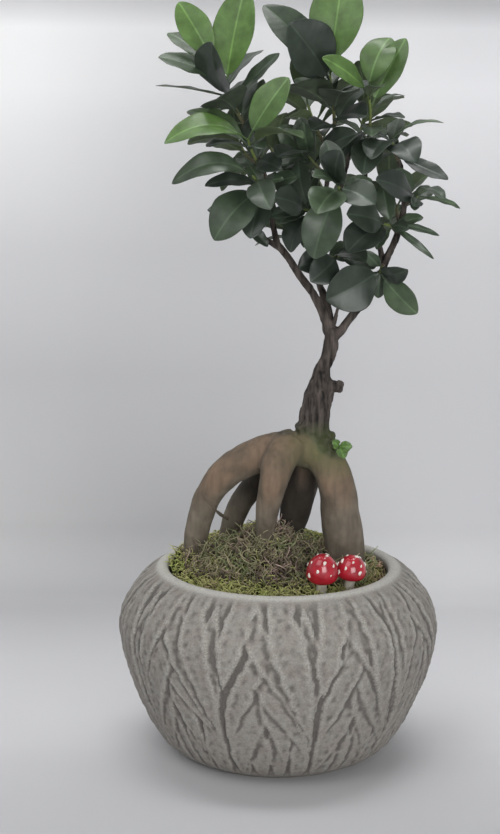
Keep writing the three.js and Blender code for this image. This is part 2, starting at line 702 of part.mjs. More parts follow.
/** All leaves of all sprays: the chosen ones first, and then those that fill the free space. */
function placeLeaves(sprays) {
  const crowns = sprays.map((spray) => {
    const curve = twigCurve(spray);
    const leaves = spray.leaves.map(([place, x, y, z, width, arch, turn]) =>
      leafOn(curve, place, vec(x, y, z), width, arch, turn),
    );
    return { spray, curve, leaves };
  });
  const twigs = crowns.flatMap(({ curve }) => curve.getSpacedPoints(TWIG_POINTS));
  const taken = [...woodPoints(), ...twigs.map((point) => ({ point, radius: -1 }))];
  const take = (leaf) => taken.push(...leafSamples(leaf).map((point) => ({ point, radius: 0 })));
  crowns.forEach(({ leaves }) => leaves.forEach(take));
  crowns.forEach(({ spray, curve, leaves }) => {
    for (let index = 0; index < (spray.grown ?? 0); index += 1) {
      const tries = Array.from({ length: SWINGS }, (_, swing) => grownLeaf(spray, curve, index, swing));
      const leaf = tries.find((candidate) => isClear(leafSamples(candidate), taken));
      if (leaf) {
        leaves.push(leaf);
        take(leaf);
      }
    }
  });
  return crowns;
}

function makeSpray({ curve, leaves }) {
  const twig = limb(curve.getSpacedPoints(4), [TWIG_RADIUS, TWIG_TIP_RADIUS], { sides: 4, steps: 4 });
  return largestBody(joined([twig, ...leaves.map(leafSolid)]));
}

// ---------------------------------------------------------------- toadstool ornaments

// `foot` is where the stem stands. `lean` is its turn in radians about X, towards the front where it is below
// 0, and about Y, towards the right.
const TOADSTOOLS = [
  {
    name: 'toadstool_left',
    foot: [28.8, -41, 120],
    lean: [-0.3, 0.02],
    capRadius: 11.2,
    capHeight: 18,
    stem: 19,
  },
  {
    name: 'toadstool_right',
    foot: [47.3, -34, 120],
    lean: [-0.22, 0.1],
    capRadius: 10.4,
    capHeight: 15,
    stem: 18,
  },
];
const STEM_SEGMENTS = 12;
const CAP_SEGMENTS = 18;
const CAP_RIM = 2.5; // height of the cap's widest line over its underside
const DOME_SHARES = [0.93, 0.78, 0.55, 0.28]; // of the cap's radius, where its dome has a row of points

/** A stem that tapers upwards, `grow` wider all round for the hole that it stands in. */
function stemGeometry(height, grow = 0) {
  const radius = STEM_RADIUS + grow;
  const side = [[radius + STEM_FLARE, -grow], [radius, height * 0.6], [radius - STEM_FLARE, height]];
  return turned([[0, -grow], ...side, [0, height]], STEM_SEGMENTS);
}

/** A domed cap whose rim curls under a little. */
function capGeometry({ capRadius, capHeight }) {
  const under = [[capRadius * 0.62, -0.6], [capRadius * 0.9, 0.2], [capRadius, CAP_RIM - 0.3]];
  const dome = DOME_SHARES.map((share) => [
    capRadius * share,
    CAP_RIM + (capHeight - CAP_RIM) * Math.sqrt(1 - share ** 2),
  ]);
  return turned([[0, 0], ...under, ...dome, [0, capHeight]], CAP_SEGMENTS);
}

/** A toadstool on its own leaning holder, with the hole that its stem stands in. */
function makeToadstool(spec) {
  const holder = new THREE.Group();
  holder.position.set(...spec.foot);
  holder.rotation.set(-spec.lean[0], spec.lean[1], 0);
  const stem = toMesh(`${spec.name}_stem`, toSolid(stemGeometry(spec.stem)), materials.whiteStem);
  const cap = toMesh(`${spec.name}_cap`, toSolid(capGeometry(spec)), materials.redGloss);
  cap.position.z = spec.stem + CLEARANCE;
  holder.add(stem, cap);
  holder.updateMatrixWorld(true);
  const hole = toSolid(stemGeometry(spec.stem, SOCKET_CLEARANCE).applyMatrix4(holder.matrixWorld));
  return { holder, hole };
}

// ---------------------------------------------------------------- assembly

const toadstools = TOADSTOOLS.map(makeToadstool);
const rootSockets = joined(Object.values(ROOTS).map((root) => rootSolid(root, SOCKET_CLEARANCE)));
const mossHoles = joined([...toadstools.map(({ hole }) => hole), rootSockets]);

const plant = new THREE.Group();
plant.name = 'bonsai';
plant.add(toMesh('pot', makePot(), materials.concrete));
plant.add(toMesh('soil', largestBody(makeSoil().subtract(rootSockets)), materials.soil));
plant.add(toMesh('moss', largestBody(makeMoss().subtract(mossHoles)), materials.moss));
plant.add(toMesh('tree', makeTree([...SPRAYS, SPROUT]), materials.bark));
for (const crown of placeLeaves([...SPRAYS, SPROUT])) {
  const material = crown.spray === SPROUT ? materials.youngLeaf : materials.leaf;
  plant.add(toMesh(crown.spray.name, makeSpray(crown), material));
}
plant.add(...toadstools.map(({ holder }) => holder));

export default plant;
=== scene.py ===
"""Looks of a grafted fig bonsai on bare roots, in a cast cement bowl dressed with moss and two toadstools.

Every piece is worked out in millimetres with numpy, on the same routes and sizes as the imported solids, and is
turned to metres when its mesh is made. +Z is up, the front is at -Y, and the origin is the middle of the
foot.
"""

from __future__ import annotations

import json
import logging
import math
from dataclasses import dataclass, field
from enum import Enum
from typing import Any

import bpy
import numpy as np
from mathutils import Matrix, Vector

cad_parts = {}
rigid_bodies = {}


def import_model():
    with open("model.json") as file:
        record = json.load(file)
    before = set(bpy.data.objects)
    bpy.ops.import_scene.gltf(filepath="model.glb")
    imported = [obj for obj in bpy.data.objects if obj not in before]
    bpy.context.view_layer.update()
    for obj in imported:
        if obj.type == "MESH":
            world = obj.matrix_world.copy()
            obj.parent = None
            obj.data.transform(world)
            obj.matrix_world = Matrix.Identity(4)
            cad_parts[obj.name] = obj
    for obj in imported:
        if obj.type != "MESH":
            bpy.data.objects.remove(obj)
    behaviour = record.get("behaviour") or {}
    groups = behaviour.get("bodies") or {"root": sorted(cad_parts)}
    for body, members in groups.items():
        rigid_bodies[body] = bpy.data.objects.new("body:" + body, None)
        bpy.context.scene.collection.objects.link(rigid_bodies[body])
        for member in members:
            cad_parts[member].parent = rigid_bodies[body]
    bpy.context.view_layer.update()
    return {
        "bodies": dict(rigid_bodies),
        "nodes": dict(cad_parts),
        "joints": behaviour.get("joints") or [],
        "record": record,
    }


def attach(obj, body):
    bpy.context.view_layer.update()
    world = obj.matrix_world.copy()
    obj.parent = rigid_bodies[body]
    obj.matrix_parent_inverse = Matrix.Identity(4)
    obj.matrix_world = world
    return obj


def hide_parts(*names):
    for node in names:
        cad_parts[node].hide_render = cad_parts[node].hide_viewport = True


LOG = logging.getLogger("bonsai")
MM = 0.001
BODY = "root"
GOLDEN_ANGLE = math.radians(137.5)
POLE_RADIUS = 0.3  # of the small hole at a turned shape's pole, which a fan of faces closes

Array = np.ndarray


# ------------------------------------------------------------------ numbers and noise

# Odd factors of a common integer hash, and the masks for its low 32 and 16 bits.
HASH_AXES = np.array([374761393, 668265263, 2246822519], dtype=np.uint64)
HASH_SEED, HASH_STIR = 3266489917, np.uint64(1274126177)
LOW_32, LOW_16 = np.uint64(0xFFFFFFFF), np.uint64(0xFFFF)


def smooth(x: Array | float, low: float, high: float) -> Array:
    """Smooth step: 0 at low, 1 at high, and 3t^2 - 2t^3 between them."""
    t = np.clip((np.asarray(x, float) - low) / (high - low), 0.0, 1.0)
    return t * t * (3.0 - 2.0 * t)


def unit(vectors: Array) -> Array:
    """Vectors of length 1 in the same directions, along the last axis."""
    return vectors / np.maximum(np.linalg.norm(vectors, axis=-1, keepdims=True), 1e-12)


def circle(count: int) -> Array:
    """This many angles, evenly round a circle."""
    return np.arange(count) * (2 * math.pi / count)


def hashed(cells: Array, seed: int) -> Array:
    """A fixed random value for each cell, by an integer hash.

    Args:
        cells: Rows of three whole numbers.
        seed: Picks another set of values.

    Returns:
        A value from -1 to 1 for each row.
    """
    mixed = (cells.astype(np.int64).astype(np.uint64) * HASH_AXES).sum(axis=-1) + np.uint64(seed * HASH_SEED)
    mixed &= LOW_32
    mixed = ((mixed ^ (mixed >> np.uint64(13))) * HASH_STIR) & LOW_32
    return ((mixed ^ (mixed >> np.uint64(16))) & LOW_16).astype(float) / 32767.5 - 1.0


def noise(points: Array, size: float | Array, seed: int = 0) -> Array:
    """Smooth random field: hashed values at lattice corners, blended along each axis by a smooth step.

    Args:
        points: Places in millimetres, any shape with 3 as its last axis.
        size: Lattice spacing in millimetres, one for all axes or one for each.
        seed: Picks another field.

    Returns:
        A value of about -1 to 1 for each point.
    """
    place = points / size
    cell = np.floor(place)
    share = smooth(place - cell, 0.0, 1.0)
    total = np.zeros(points.shape[:-1])
    for corner in np.ndindex(2, 2, 2):
        weight = np.prod(np.where(np.array(corner) == 1, share, 1.0 - share), axis=-1)
        total += weight * hashed(cell + np.array(corner), seed)
    return total


def rough(points: Array, size: Any, octaves: int = 3, seed: int = 0) -> Array:
    """Sum of noise fields, each at half the size and half the height of the one before."""
    layers = [noise(points, np.asarray(size) / 2**k, seed + k) / 2**k for k in range(octaves)]
    return np.sum(layers, axis=0)


@dataclass(frozen=True)
class Grain:
    """A rough field of two noises: its height, its size in millimetres (or three, by axis), and its seed."""

    height: float
    size: float | tuple[float, float, float]
    seed: int

    def at(self, points: Array) -> Array:
        """The field's value at each point."""
        return self.height * rough(points, self.size, 2, self.seed)


class Route:
    """A centripetal Catmull-Rom curve through points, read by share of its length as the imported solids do."""

    DIVISIONS = 200
    NUDGE = 0.0001

    def __init__(self, points: Any) -> None:
        """Keeps the points with a mirrored one past each end, and tables the length so far.

        Args:
            points: Rows of x, y and z in millimetres, at least two.
        """
        inner = np.asarray(points, float)
        self.points = np.vstack([2 * inner[0] - inner[1], inner, 2 * inner[-1] - inner[-2]])
        self.shares = np.linspace(0.0, 1.0, self.DIVISIONS + 1)
        steps = np.linalg.norm(np.diff(self.at(self.shares), axis=0), axis=1)
        self.lengths = np.concatenate([[0.0], np.cumsum(steps)])

    @property
    def length(self) -> float:
        """Length of the whole curve."""
        return float(self.lengths[-1])

    def at(self, parameter: Array | float) -> Array:
        """Points of the curve, each from the cubic between its two neighbours.

        The cubic's tangents weigh the steps between the points by the root of their lengths.

        Args:
            parameter: Curve parameters from 0 to 1, which count the points evenly.

        Returns:
            Points as (n, 3).
        """
        t = np.atleast_1d(np.asarray(parameter, float)) * (len(self.points) - 3)
        index = np.minimum(np.floor(t).astype(int), len(self.points) - 4)
        w = (t - index)[:, None]
        a, b, c, d = (self.points[index + k] for k in range(4))
        gaps = [np.sum((q - p) ** 2, axis=1) ** 0.25 for p, q in ((a, b), (b, c), (c, d))]
        g0, g1, g2 = (gap[:, None] for gap in gaps)
        t1 = ((b - a) / g0 - (c - a) / (g0 + g1) + (c - b) / g1) * g1
        t2 = ((c - b) / g1 - (d - b) / (g1 + g2) + (d - c) / g2) * g1
        return b + t1 * w + (-3 * b + 3 * c - 2 * t1 - t2) * w**2 + (2 * b - 2 * c + t1 + t2) * w**3

    def parameter(self, share: Array | float) -> Array:
        """Curve parameters at shares of the length."""
        return np.interp(np.atleast_1d(share) * self.length, self.lengths, self.shares)

    def spaced(self, share: Array | float) -> Array:
        """Points at shares of the length."""
        return self.at(self.parameter(share))

    def direction(self, share: Array | float) -> Array:
        """Directions of the curve, from two points close together.

        Args:
            share: Shares of the length.

        Returns:
            Unit tangents as (n, 3).
        """
        t = self.parameter(share)
        ahead = np.minimum(t + self.NUDGE, 1.0)
        behind = np.maximum(t - self.NUDGE, 0.0)
        return unit(self.at(ahead) - self.at(behind))


# ------------------------------------------------------------------ shapes and pieces


@dataclass
class Shape:
    """A surface in the making.

    points holds (n, 3) places in millimetres, faces pairs of an index array and the number of its finish, and
    marks one value per point for the materials to read.
    """

    points: Array
    faces: list[tuple[Array, int]]
    marks: dict[str, Array] = field(default_factory=dict)


def skins(rings: Array, marks: dict[str, Array] | None = None, finish: int = 0) -> Shape:
    """Closed skins over stacks of rings: quads between rings, and a fan of triangles at each end.

    Args:
        rings: Points as (copies, rows, around, 3). Seen from the last ring, the points run anticlockwise.
        marks: Values as (copies, rows, around).
        finish: Number of the finish on these faces.

    Returns:
        One shape with all the copies.
    """
    copies, rows, around, _ = rings.shape
    middles = rings[:, [0, -1]].mean(axis=2)
    points = np.concatenate([rings.reshape(copies, -1, 3), middles], axis=1)
    size = rows * around + 2
    row, column = np.mgrid[0 : rows - 1, 0:around]
    beside = (column + 1) % around
    low, high = row * around, (row + 1) * around
    quads = np.stack([low + column, low + beside, high + beside, high + column], axis=-1).reshape(-1, 4)
    edge = np.arange(around)
    turn = (edge + 1) % around
    start = np.stack([np.full(around, size - 2), turn, edge], axis=1)
    last = (rows - 1) * around
    end = np.stack([np.full(around, size - 1), last + edge, last + turn], axis=1)
    offset = (np.arange(copies) * size)[:, None, None]
    faces = [
        ((quads[None] + offset).reshape(-1, 4), finish),
        ((np.concatenate([start, end])[None] + offset).reshape(-1, 3), finish),
    ]
    flat = {}
    for name, values in (marks or {}).items():
        spread = np.broadcast_to(values, rings.shape[:3])
        ends = spread[:, [0, -1]].mean(axis=2)
        flat[name] = np.concatenate([spread.reshape(copies, -1), ends], axis=1).ravel()
    return Shape(points.reshape(-1, 3), faces, flat)


def joined(shapes: list[Shape]) -> Shape:
    """One shape out of several.

    Args:
        shapes: The shapes, in order. A mark that one of them lacks is 0 on it.

    Returns:
        All their points, faces and marks.
    """
    names = sorted({name for shape in shapes for name in shape.marks})
    offsets = np.cumsum([0] + [len(shape.points) for shape in shapes[:-1]])
    faces = [
        (rows + offset, finish) for shape, offset in zip(shapes, offsets) for rows, finish in shape.faces
    ]
    marks = {
        name: np.concatenate([shape.marks.get(name, np.zeros(len(shape.points))) for shape in shapes])
        for name in names
    }
    return Shape(np.concatenate([shape.points for shape in shapes]), faces, marks)


def steady_frames(centres: Array) -> tuple[Array, Array]:
    """Frames that travel along lines of points and keep the same side up.

    The side direction is the world axis least along the line, made square to each tangent.

    Args:
        centres: Points as (copies, rows, 3).

    Returns:
        Two directions square to the line and to each other, each as (copies, rows, 3).
    """
    tangents = unit(np.gradient(centres, axis=1))
    mean = np.abs(tangents.mean(axis=1))
    guide = np.eye(3)[np.argmin(mean, axis=1)][:, None, :]
    side = unit(guide - tangents * np.sum(guide * tangents, axis=-1, keepdims=True))
    return side, np.cross(tangents, side)


def tubes(
    centres: Array, radii: Array, around: int, marks: dict[str, Array] | None = None, finish: int = 0
) -> Shape:
    """Round tubes along lines of points.

    Args:
        centres: Points as (copies, rows, 3).
        radii: Radii as (copies, rows), or as (copies, rows, around) for a section that isn't round.
        around: Points in each ring.
        marks: Values as (copies, rows, 1) or (copies, rows, around).
        finish: Number of the finish.

    Returns:
        The tubes as one shape.
    """
    side, other = steady_frames(centres)
    angle = circle(around)
    reach = radii if radii.ndim == 3 else radii[..., None]
    spread = np.cos(angle)[:, None] * side[:, :, None] + np.sin(angle)[:, None] * other[:, :, None]
    return skins(centres[:, :, None] + reach[..., None] * spread, marks, finish)


def to_mesh(name: str, shape: Shape) -> bpy.types.Mesh:
    """A Blender mesh in metres, smooth all over.

    Args:
        name: Name of the mesh.
        shape: The shape in millimetres.

    Returns:
        The mesh, with the shape's marks as attributes of its points.
    """
    mesh = bpy.data.meshes.new(name)
    sizes = np.concatenate([np.full(len(rows), rows.shape[1]) for rows, _ in shape.faces])
    corners = np.concatenate([rows.ravel() for rows, _ in shape.faces])
    finishes = np.concatenate([np.full(len(rows), finish) for rows, finish in shape.faces])
    mesh.vertices.add(len(shape.points))
    mesh.vertices.foreach_set("co", (shape.points * MM).astype(np.float32).ravel())
    mesh.loops.add(len(corners))
    mesh.loops.foreach_set("vertex_index", corners.astype(np.int32))
    mesh.polygons.add(len(sizes))
    mesh.polygons.foreach_set("loop_start", (np.cumsum(sizes) - sizes).astype(np.int32))
    mesh.polygons.foreach_set("material_index", finishes.astype(np.int32))
    mesh.polygons.foreach_set("use_smooth", np.ones(len(sizes), dtype=bool))
    for mark, values in shape.marks.items():
        layer = mesh.attributes.new(mark, "FLOAT", "POINT")
        layer.data.foreach_set("value", values.astype(np.float32))
    mesh.update(calc_edges=True)
    mesh.validate()
    return mesh


def from_mesh(rows: Any, name: str, width: int = 1, kind: type = np.int32) -> Array:
    """One property of all rows of a mesh's collection.

    Args:
        rows: The mesh's vertices, loops or polygons.
        name: The property.
        width: How many values it has in each row.
        kind: Type of those values.

    Returns:
        The values as a flat array.
    """
    values = np.empty(len(rows) * width, kind)
    rows.foreach_get(name, values)
    return values


def place_piece(
    name: str, shape: Shape, materials: list[bpy.types.Material], nodes: tuple[str, ...] = ()
) -> None:
    """Adds a finished shape to the scene as a piece of the object.

    Args:
        name: Name of the piece.
        shape: Its shape, in millimetres.
        materials: Its finishes, in the order that its faces number them.
        nodes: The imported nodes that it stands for.
    """
    mesh = to_mesh(name, shape)
    for material in materials:
        mesh.materials.append(material)
    piece = bpy.data.objects.new(name, mesh)
    bpy.context.scene.collection.objects.link(piece)
    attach(piece, BODY)
    if nodes:
        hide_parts(*nodes)
    LOG.info("%s: %d points, %d faces", name, len(mesh.vertices), len(mesh.polygons))


# ------------------------------------------------------------------ finishes

FACTOR, FIRST, SECOND = 0, 6, 7  # inputs of a Mix node that mixes colours
MIXED = 2  # and its output


def linear(colour: str) -> tuple[float, float, float, float]:
    """Linear RGBA of an sRGB hex colour such as "a9a69e"."""
    parts = [int(colour[k : k + 2], 16) / 255 for k in (0, 2, 4)]
    return (*(p / 12.92 if p <= 0.04045 else ((p + 0.055) / 1.055) ** 2.4 for p in parts), 1.0)


def per_metre(size_mm: float) -> float:
    """How often a size in millimetres goes into a metre, which is the Scale of a pattern of that size."""
    return 1 / (size_mm * MM)


def feed(tree: bpy.types.NodeTree, value: Any, socket: bpy.types.NodeSocket) -> None:
    """Gives an input its value or its link.

    Args:
        tree: The material's node tree.
        value: A plain value, an output socket to link, or a node, which stands for its first output.
        socket: The input.
    """
    source = value.outputs[0] if isinstance(value, bpy.types.Node) else value
    if isinstance(source, bpy.types.NodeSocket):
        tree.links.new(source, socket)
    else:
        socket.default_value = source


def add_node(
    tree: bpy.types.NodeTree, kind: str, links: dict[str | int, Any] | None = None, **settings: Any
) -> bpy.types.Node:
    """Adds a shader node.

    Args:
        tree: The material's node tree.
        kind: Type of the node, without its leading "ShaderNode".
        links: What each input gets, as feed takes it.
        settings: The node's own settings. stops holds a colour ramp's (position, colour) pairs, and limits
            the two ends of what comes into a range, then of what goes out where that isn't 0 to 1.

    Returns:
        The new node.
    """
    node = tree.nodes.new("ShaderNode" + kind)
    stops, limits = settings.pop("stops", ()), settings.pop("limits", ())
    for name, value in settings.items():
        setattr(node, name, value)
    if stops:
        for _ in stops[2:]:
            node.color_ramp.elements.new(0.5)
        for element, (position, colour) in zip(node.color_ramp.elements, stops):
            element.position, element.color = position, linear(colour)
    for socket, value in {**(links or {}), **dict(enumerate(limits, start=1))}.items():
        feed(tree, value, node.inputs[socket])
    return node


def new_material(name: str, **values: Any) -> tuple[bpy.types.Material, bpy.types.NodeTree]:
    """A material with a Principled shader.

    Args:
        name: Name of the material.
        values: The shader's uniform inputs, with _ for each space in their names.

    Returns:
        The material and its node tree.
    """
    material = bpy.data.materials.new(name)
    material.use_nodes = True
    return finished(material, **values), material.node_tree


def finished(material: bpy.types.Material, **inputs: Any) -> bpy.types.Material:
    """Feeds a material's Principled shader.

    Args:
        material: The material.
        inputs: What each input gets, as feed takes it, with _ for each space in its name.

    Returns:
        The same material.
    """
    tree = material.node_tree
    for name, value in inputs.items():
        feed(tree, value, tree.nodes["Principled BSDF"].inputs[name.replace("_", " ")])
    return material


@dataclass(frozen=True)
class CastCement:
    """Cement cast in a mould, with painted shade in its grooves and painted highlights on its raised edges.

    Painted shade darkens the grooves, painted highlights lighten the raised edges, and trapped air leaves small
    pits. The sandy grain is drawn coarser than it is, so that it shows.
    """

    body: str = "94918b"
    # groove is the colour of the painted shade in the hollows.
    groove: str = "686460"
    # edge is the colour of the painted highlight on the raised edges.
    edge: str = "a19e98"
    lip: str = "b8b6af"
    warm: str = "8d837c"
    grain_mm: float = 1.3
    blotch_mm: float = 9.0
    pit_mm: float = 3.4
    depth_mm: float = 0.6

    def material(self) -> bpy.types.Material:
        """Mixes the colours by the relief's own marks, breaks them up by noise, and adds pits and grain.

        Returns:
            The material.
        """
        material, tree = new_material("cast_cement", Roughness=0.93, Specular_IOR_Level=0.2)
        place = add_node(tree, "TexCoord").outputs["Object"]
        groove, edge, lip = (
            add_node(tree, "Attribute", attribute_name=mark).outputs["Fac"]
            for mark in ("groove", "edge", "lip")
        )
        links = {"Vector": place, "Scale": per_metre(self.grain_mm), "Detail": 3.0}
        grain = add_node(tree, "TexNoise", links)
        links = {"Vector": place, "Scale": per_metre(self.blotch_mm), "Detail": 4.0}
        blotch = add_node(tree, "TexNoise", links)
        warmth = add_node(tree, "MapRange", {"Value": blotch}, limits=(0.4, 0.66, 0.0, 0.6))
        # Grain breaks up the painted highlight on the raised edges.
        highlight_grain = add_node(tree, "MapRange", {"Value": grain}, limits=(0.36, 0.6, 0.2, 1.0))
        painted_highlight = add_node(tree, "Math", {0: edge, 1: highlight_grain}, operation="MULTIPLY")
        mixed = linear(self.body)
        # The groove layer is painted shade in the hollows, and the edge layer a painted highlight on the raised
        # edges.
        layers = ((warmth, self.warm), (groove, self.groove), (painted_highlight, self.edge), (lip, self.lip))
        for share, tint in layers:
            links = {FACTOR: share, FIRST: mixed, SECOND: linear(tint)}
            mixed = add_node(tree, "Mix", links, data_type="RGBA").outputs[MIXED]
        shade = add_node(tree, "MapRange", {"Value": grain}, limits=(0.3, 0.7, 0.84, 1.1))
        links = {FACTOR: 1.0, FIRST: mixed, SECOND: shade}
        final = add_node(tree, "Mix", links, data_type="RGBA", blend_type="MULTIPLY")
        pits = add_node(tree, "TexVoronoi", {"Vector": place, "Scale": per_metre(self.pit_mm)})
        pit = add_node(tree, "MapRange", {"Value": pits}, limits=(0.0, 0.28))
        relief = add_node(tree, "Math", {0: pit, 1: grain}, operation="ADD")
        bump = add_node(tree, "Bump", {"Height": relief, "Strength": 0.5, "Distance": self.depth_mm * MM})
        return finished(material, Base_Color=final.outputs[MIXED], Normal=bump)


@dataclass(frozen=True)
class PottingMix:
    """Damp composted bark and peat: dark, crumbly and without any gloss."""

    dark: str = "1d1510"
    light: str = "4a382a"
    crumb_mm: float = 2.5
    depth_mm: float = 1.0

    def material(self) -> bpy.types.Material:
        """Mixes two browns by crumbs of noise, which also raise the surface.

        Returns:
            The material.
        """
        material, tree = new_material("potting_mix", Roughness=1.0, Specular_IOR_Level=0.1)
        place = add_node(tree, "TexCoord").outputs["Object"]
        links = {"Vector": place, "Scale": per_metre(self.crumb_mm), "Detail": 5.0}
        crumbs = add_node(tree, "TexNoise", links)
        colour = add_node(tree, "ValToRGB", {"Fac": crumbs}, stops=[(0.35, self.dark), (0.7, self.light)])
        bump = add_node(tree, "Bump", {"Height": crumbs, "Strength": 0.8, "Distance": self.depth_mm * MM})
        return finished(material, Base_Color=colour, Normal=bump)


@dataclass(frozen=True)
class MossFibre:
    """Preserved moss: dull, soft strands from olive green to dry brown, lighter where a strand ends.

    Each strand's own tone mark runs from 0, the first colour, to 1, the last.
    """

    name: str
    colours: tuple[str, str, str, str]
    root_shade: float = 0.45
    tip_shade: float = 1.1

    def material(self) -> bpy.types.Material:
        """Reads the colour from the strand's tone, and darkens it towards the strand's root.

        Returns:
            The material.
        """
        material, tree = new_material(self.name, Roughness=0.95, Specular_IOR_Level=0.12)
        tone = add_node(tree, "Attribute", attribute_name="tone").outputs["Fac"]
        reach = add_node(tree, "Attribute", attribute_name="reach").outputs["Fac"]
        stops = list(zip((0.0, 0.4, 0.7, 1.0), self.colours))
        colour = add_node(tree, "ValToRGB", {"Fac": tone}, stops=stops)
        limits = (0.0, 0.8, self.root_shade, self.tip_shade)
        shade = add_node(tree, "MapRange", {"Value": reach}, limits=limits)
        links = {FACTOR: 1.0, FIRST: colour, SECOND: shade}
        final = add_node(tree, "Mix", links, data_type="RGBA", blend_type="MULTIPLY")
        return finished(material, Base_Color=final.outputs[MIXED])


@dataclass(frozen=True)
class FigBark:
    """Thin fig bark: smooth and olive tan on the swollen roots, nearly black and cracked on the old trunk.

    Corky pores and faint lengthwise streaks break up the colour, and a green film of algae grows by the graft.
    Painted shade darkens the inner roots, and the upper roots' warm bark tone is painted only where they face
    the front and up, so it is partly painted light.
    """

    root: str = "5f584d"
    root_light: str = "7e7568"
    streak: str = "4e473e"
    # warm is the upper roots' warm bark tone, painted only on their faces towards the front and up, as painted
    # light.
    warm: str = "876c57"
    # Colour of the painted shade that darkens the inner roots.
    damp: str = "1d1a18"
    trunk: str = "1e1b19"
    trunk_light: str = "665d57"
    algae: str = "58633c"
    streak_mm: tuple[float, float, float] = (3.4, 3.4, 20.0)
    patch_mm: float = 13.0
    pore_mm: float = 2.6
    depth_mm: float = 0.5

    def material(self) -> bpy.types.Material:
        """Mixes root and trunk bark by the age mark, streaked along the wood, with pores as small bumps.

        Returns:
            The material.
        """
        material, tree = new_material("fig_bark", Roughness=0.78, Specular_IOR_Level=0.25)
        place = add_node(tree, "TexCoord").outputs["Object"]
        age, film, glow, damp = (
            add_node(tree, "Attribute", attribute_name=mark).outputs["Fac"]
            for mark in ("age", "film", "glow", "damp")
        )
        scale = tuple(per_metre(size) for size in self.streak_mm)
        along = add_node(tree, "Mapping", {"Vector": place, "Scale": scale}, vector_type="POINT")
        streaks = add_node(tree, "TexNoise", {"Vector": along, "Scale": 1.0, "Detail": 4.0})
        links = {"Vector": place, "Scale": per_metre(self.patch_mm), "Detail": 3.0}
        patches = add_node(tree, "TexNoise", links)
        pores = add_node(tree, "TexVoronoi", {"Vector": place, "Scale": per_metre(self.pore_mm)})
        streaked = add_node(tree, "MapRange", {"Value": streaks}, limits=(0.36, 0.56, 0.3, 0.0))
        warmth = add_node(tree, "Math", {0: glow, 1: patches}, operation="MULTIPLY")
        green = add_node(tree, "Math", {0: film, 1: patches}, operation="MULTIPLY")
        stops = [(0.32, self.root), (0.68, self.root_light)]
        roots = add_node(tree, "ValToRGB", {"Fac": patches}, stops=stops)
        stops = [(0.34, self.trunk), (0.72, self.trunk_light)]
        trunk = add_node(tree, "ValToRGB", {"Fac": streaks}, stops=stops)
        # The warm layer is painted light on the upper roots' lit faces, and the last layer is painted shade on
        # the inner roots.
        layers = (
            (warmth, linear(self.warm)),
            (streaked, linear(self.streak)),
            (age, trunk),
            (green, linear(self.algae)),
            (damp, linear(self.damp)),
        )
        mixed = roots.outputs["Color"]
        for share, tint in layers:
            links = {FACTOR: share, FIRST: mixed, SECOND: tint}
            mixed = add_node(tree, "Mix", links, data_type="RGBA").outputs[MIXED]
        pore = add_node(tree, "MapRange", {"Value": pores}, limits=(0.0, 0.3, 1.0, 0.0))
        height = add_node(tree, "Math", {0: streaks, 1: pore}, operation="ADD")
        bump = add_node(tree, "Bump", {"Height": height, "Strength": 0.45, "Distance": self.depth_mm * MM})
        return finished(material, Base_Color=mixed, Normal=bump)


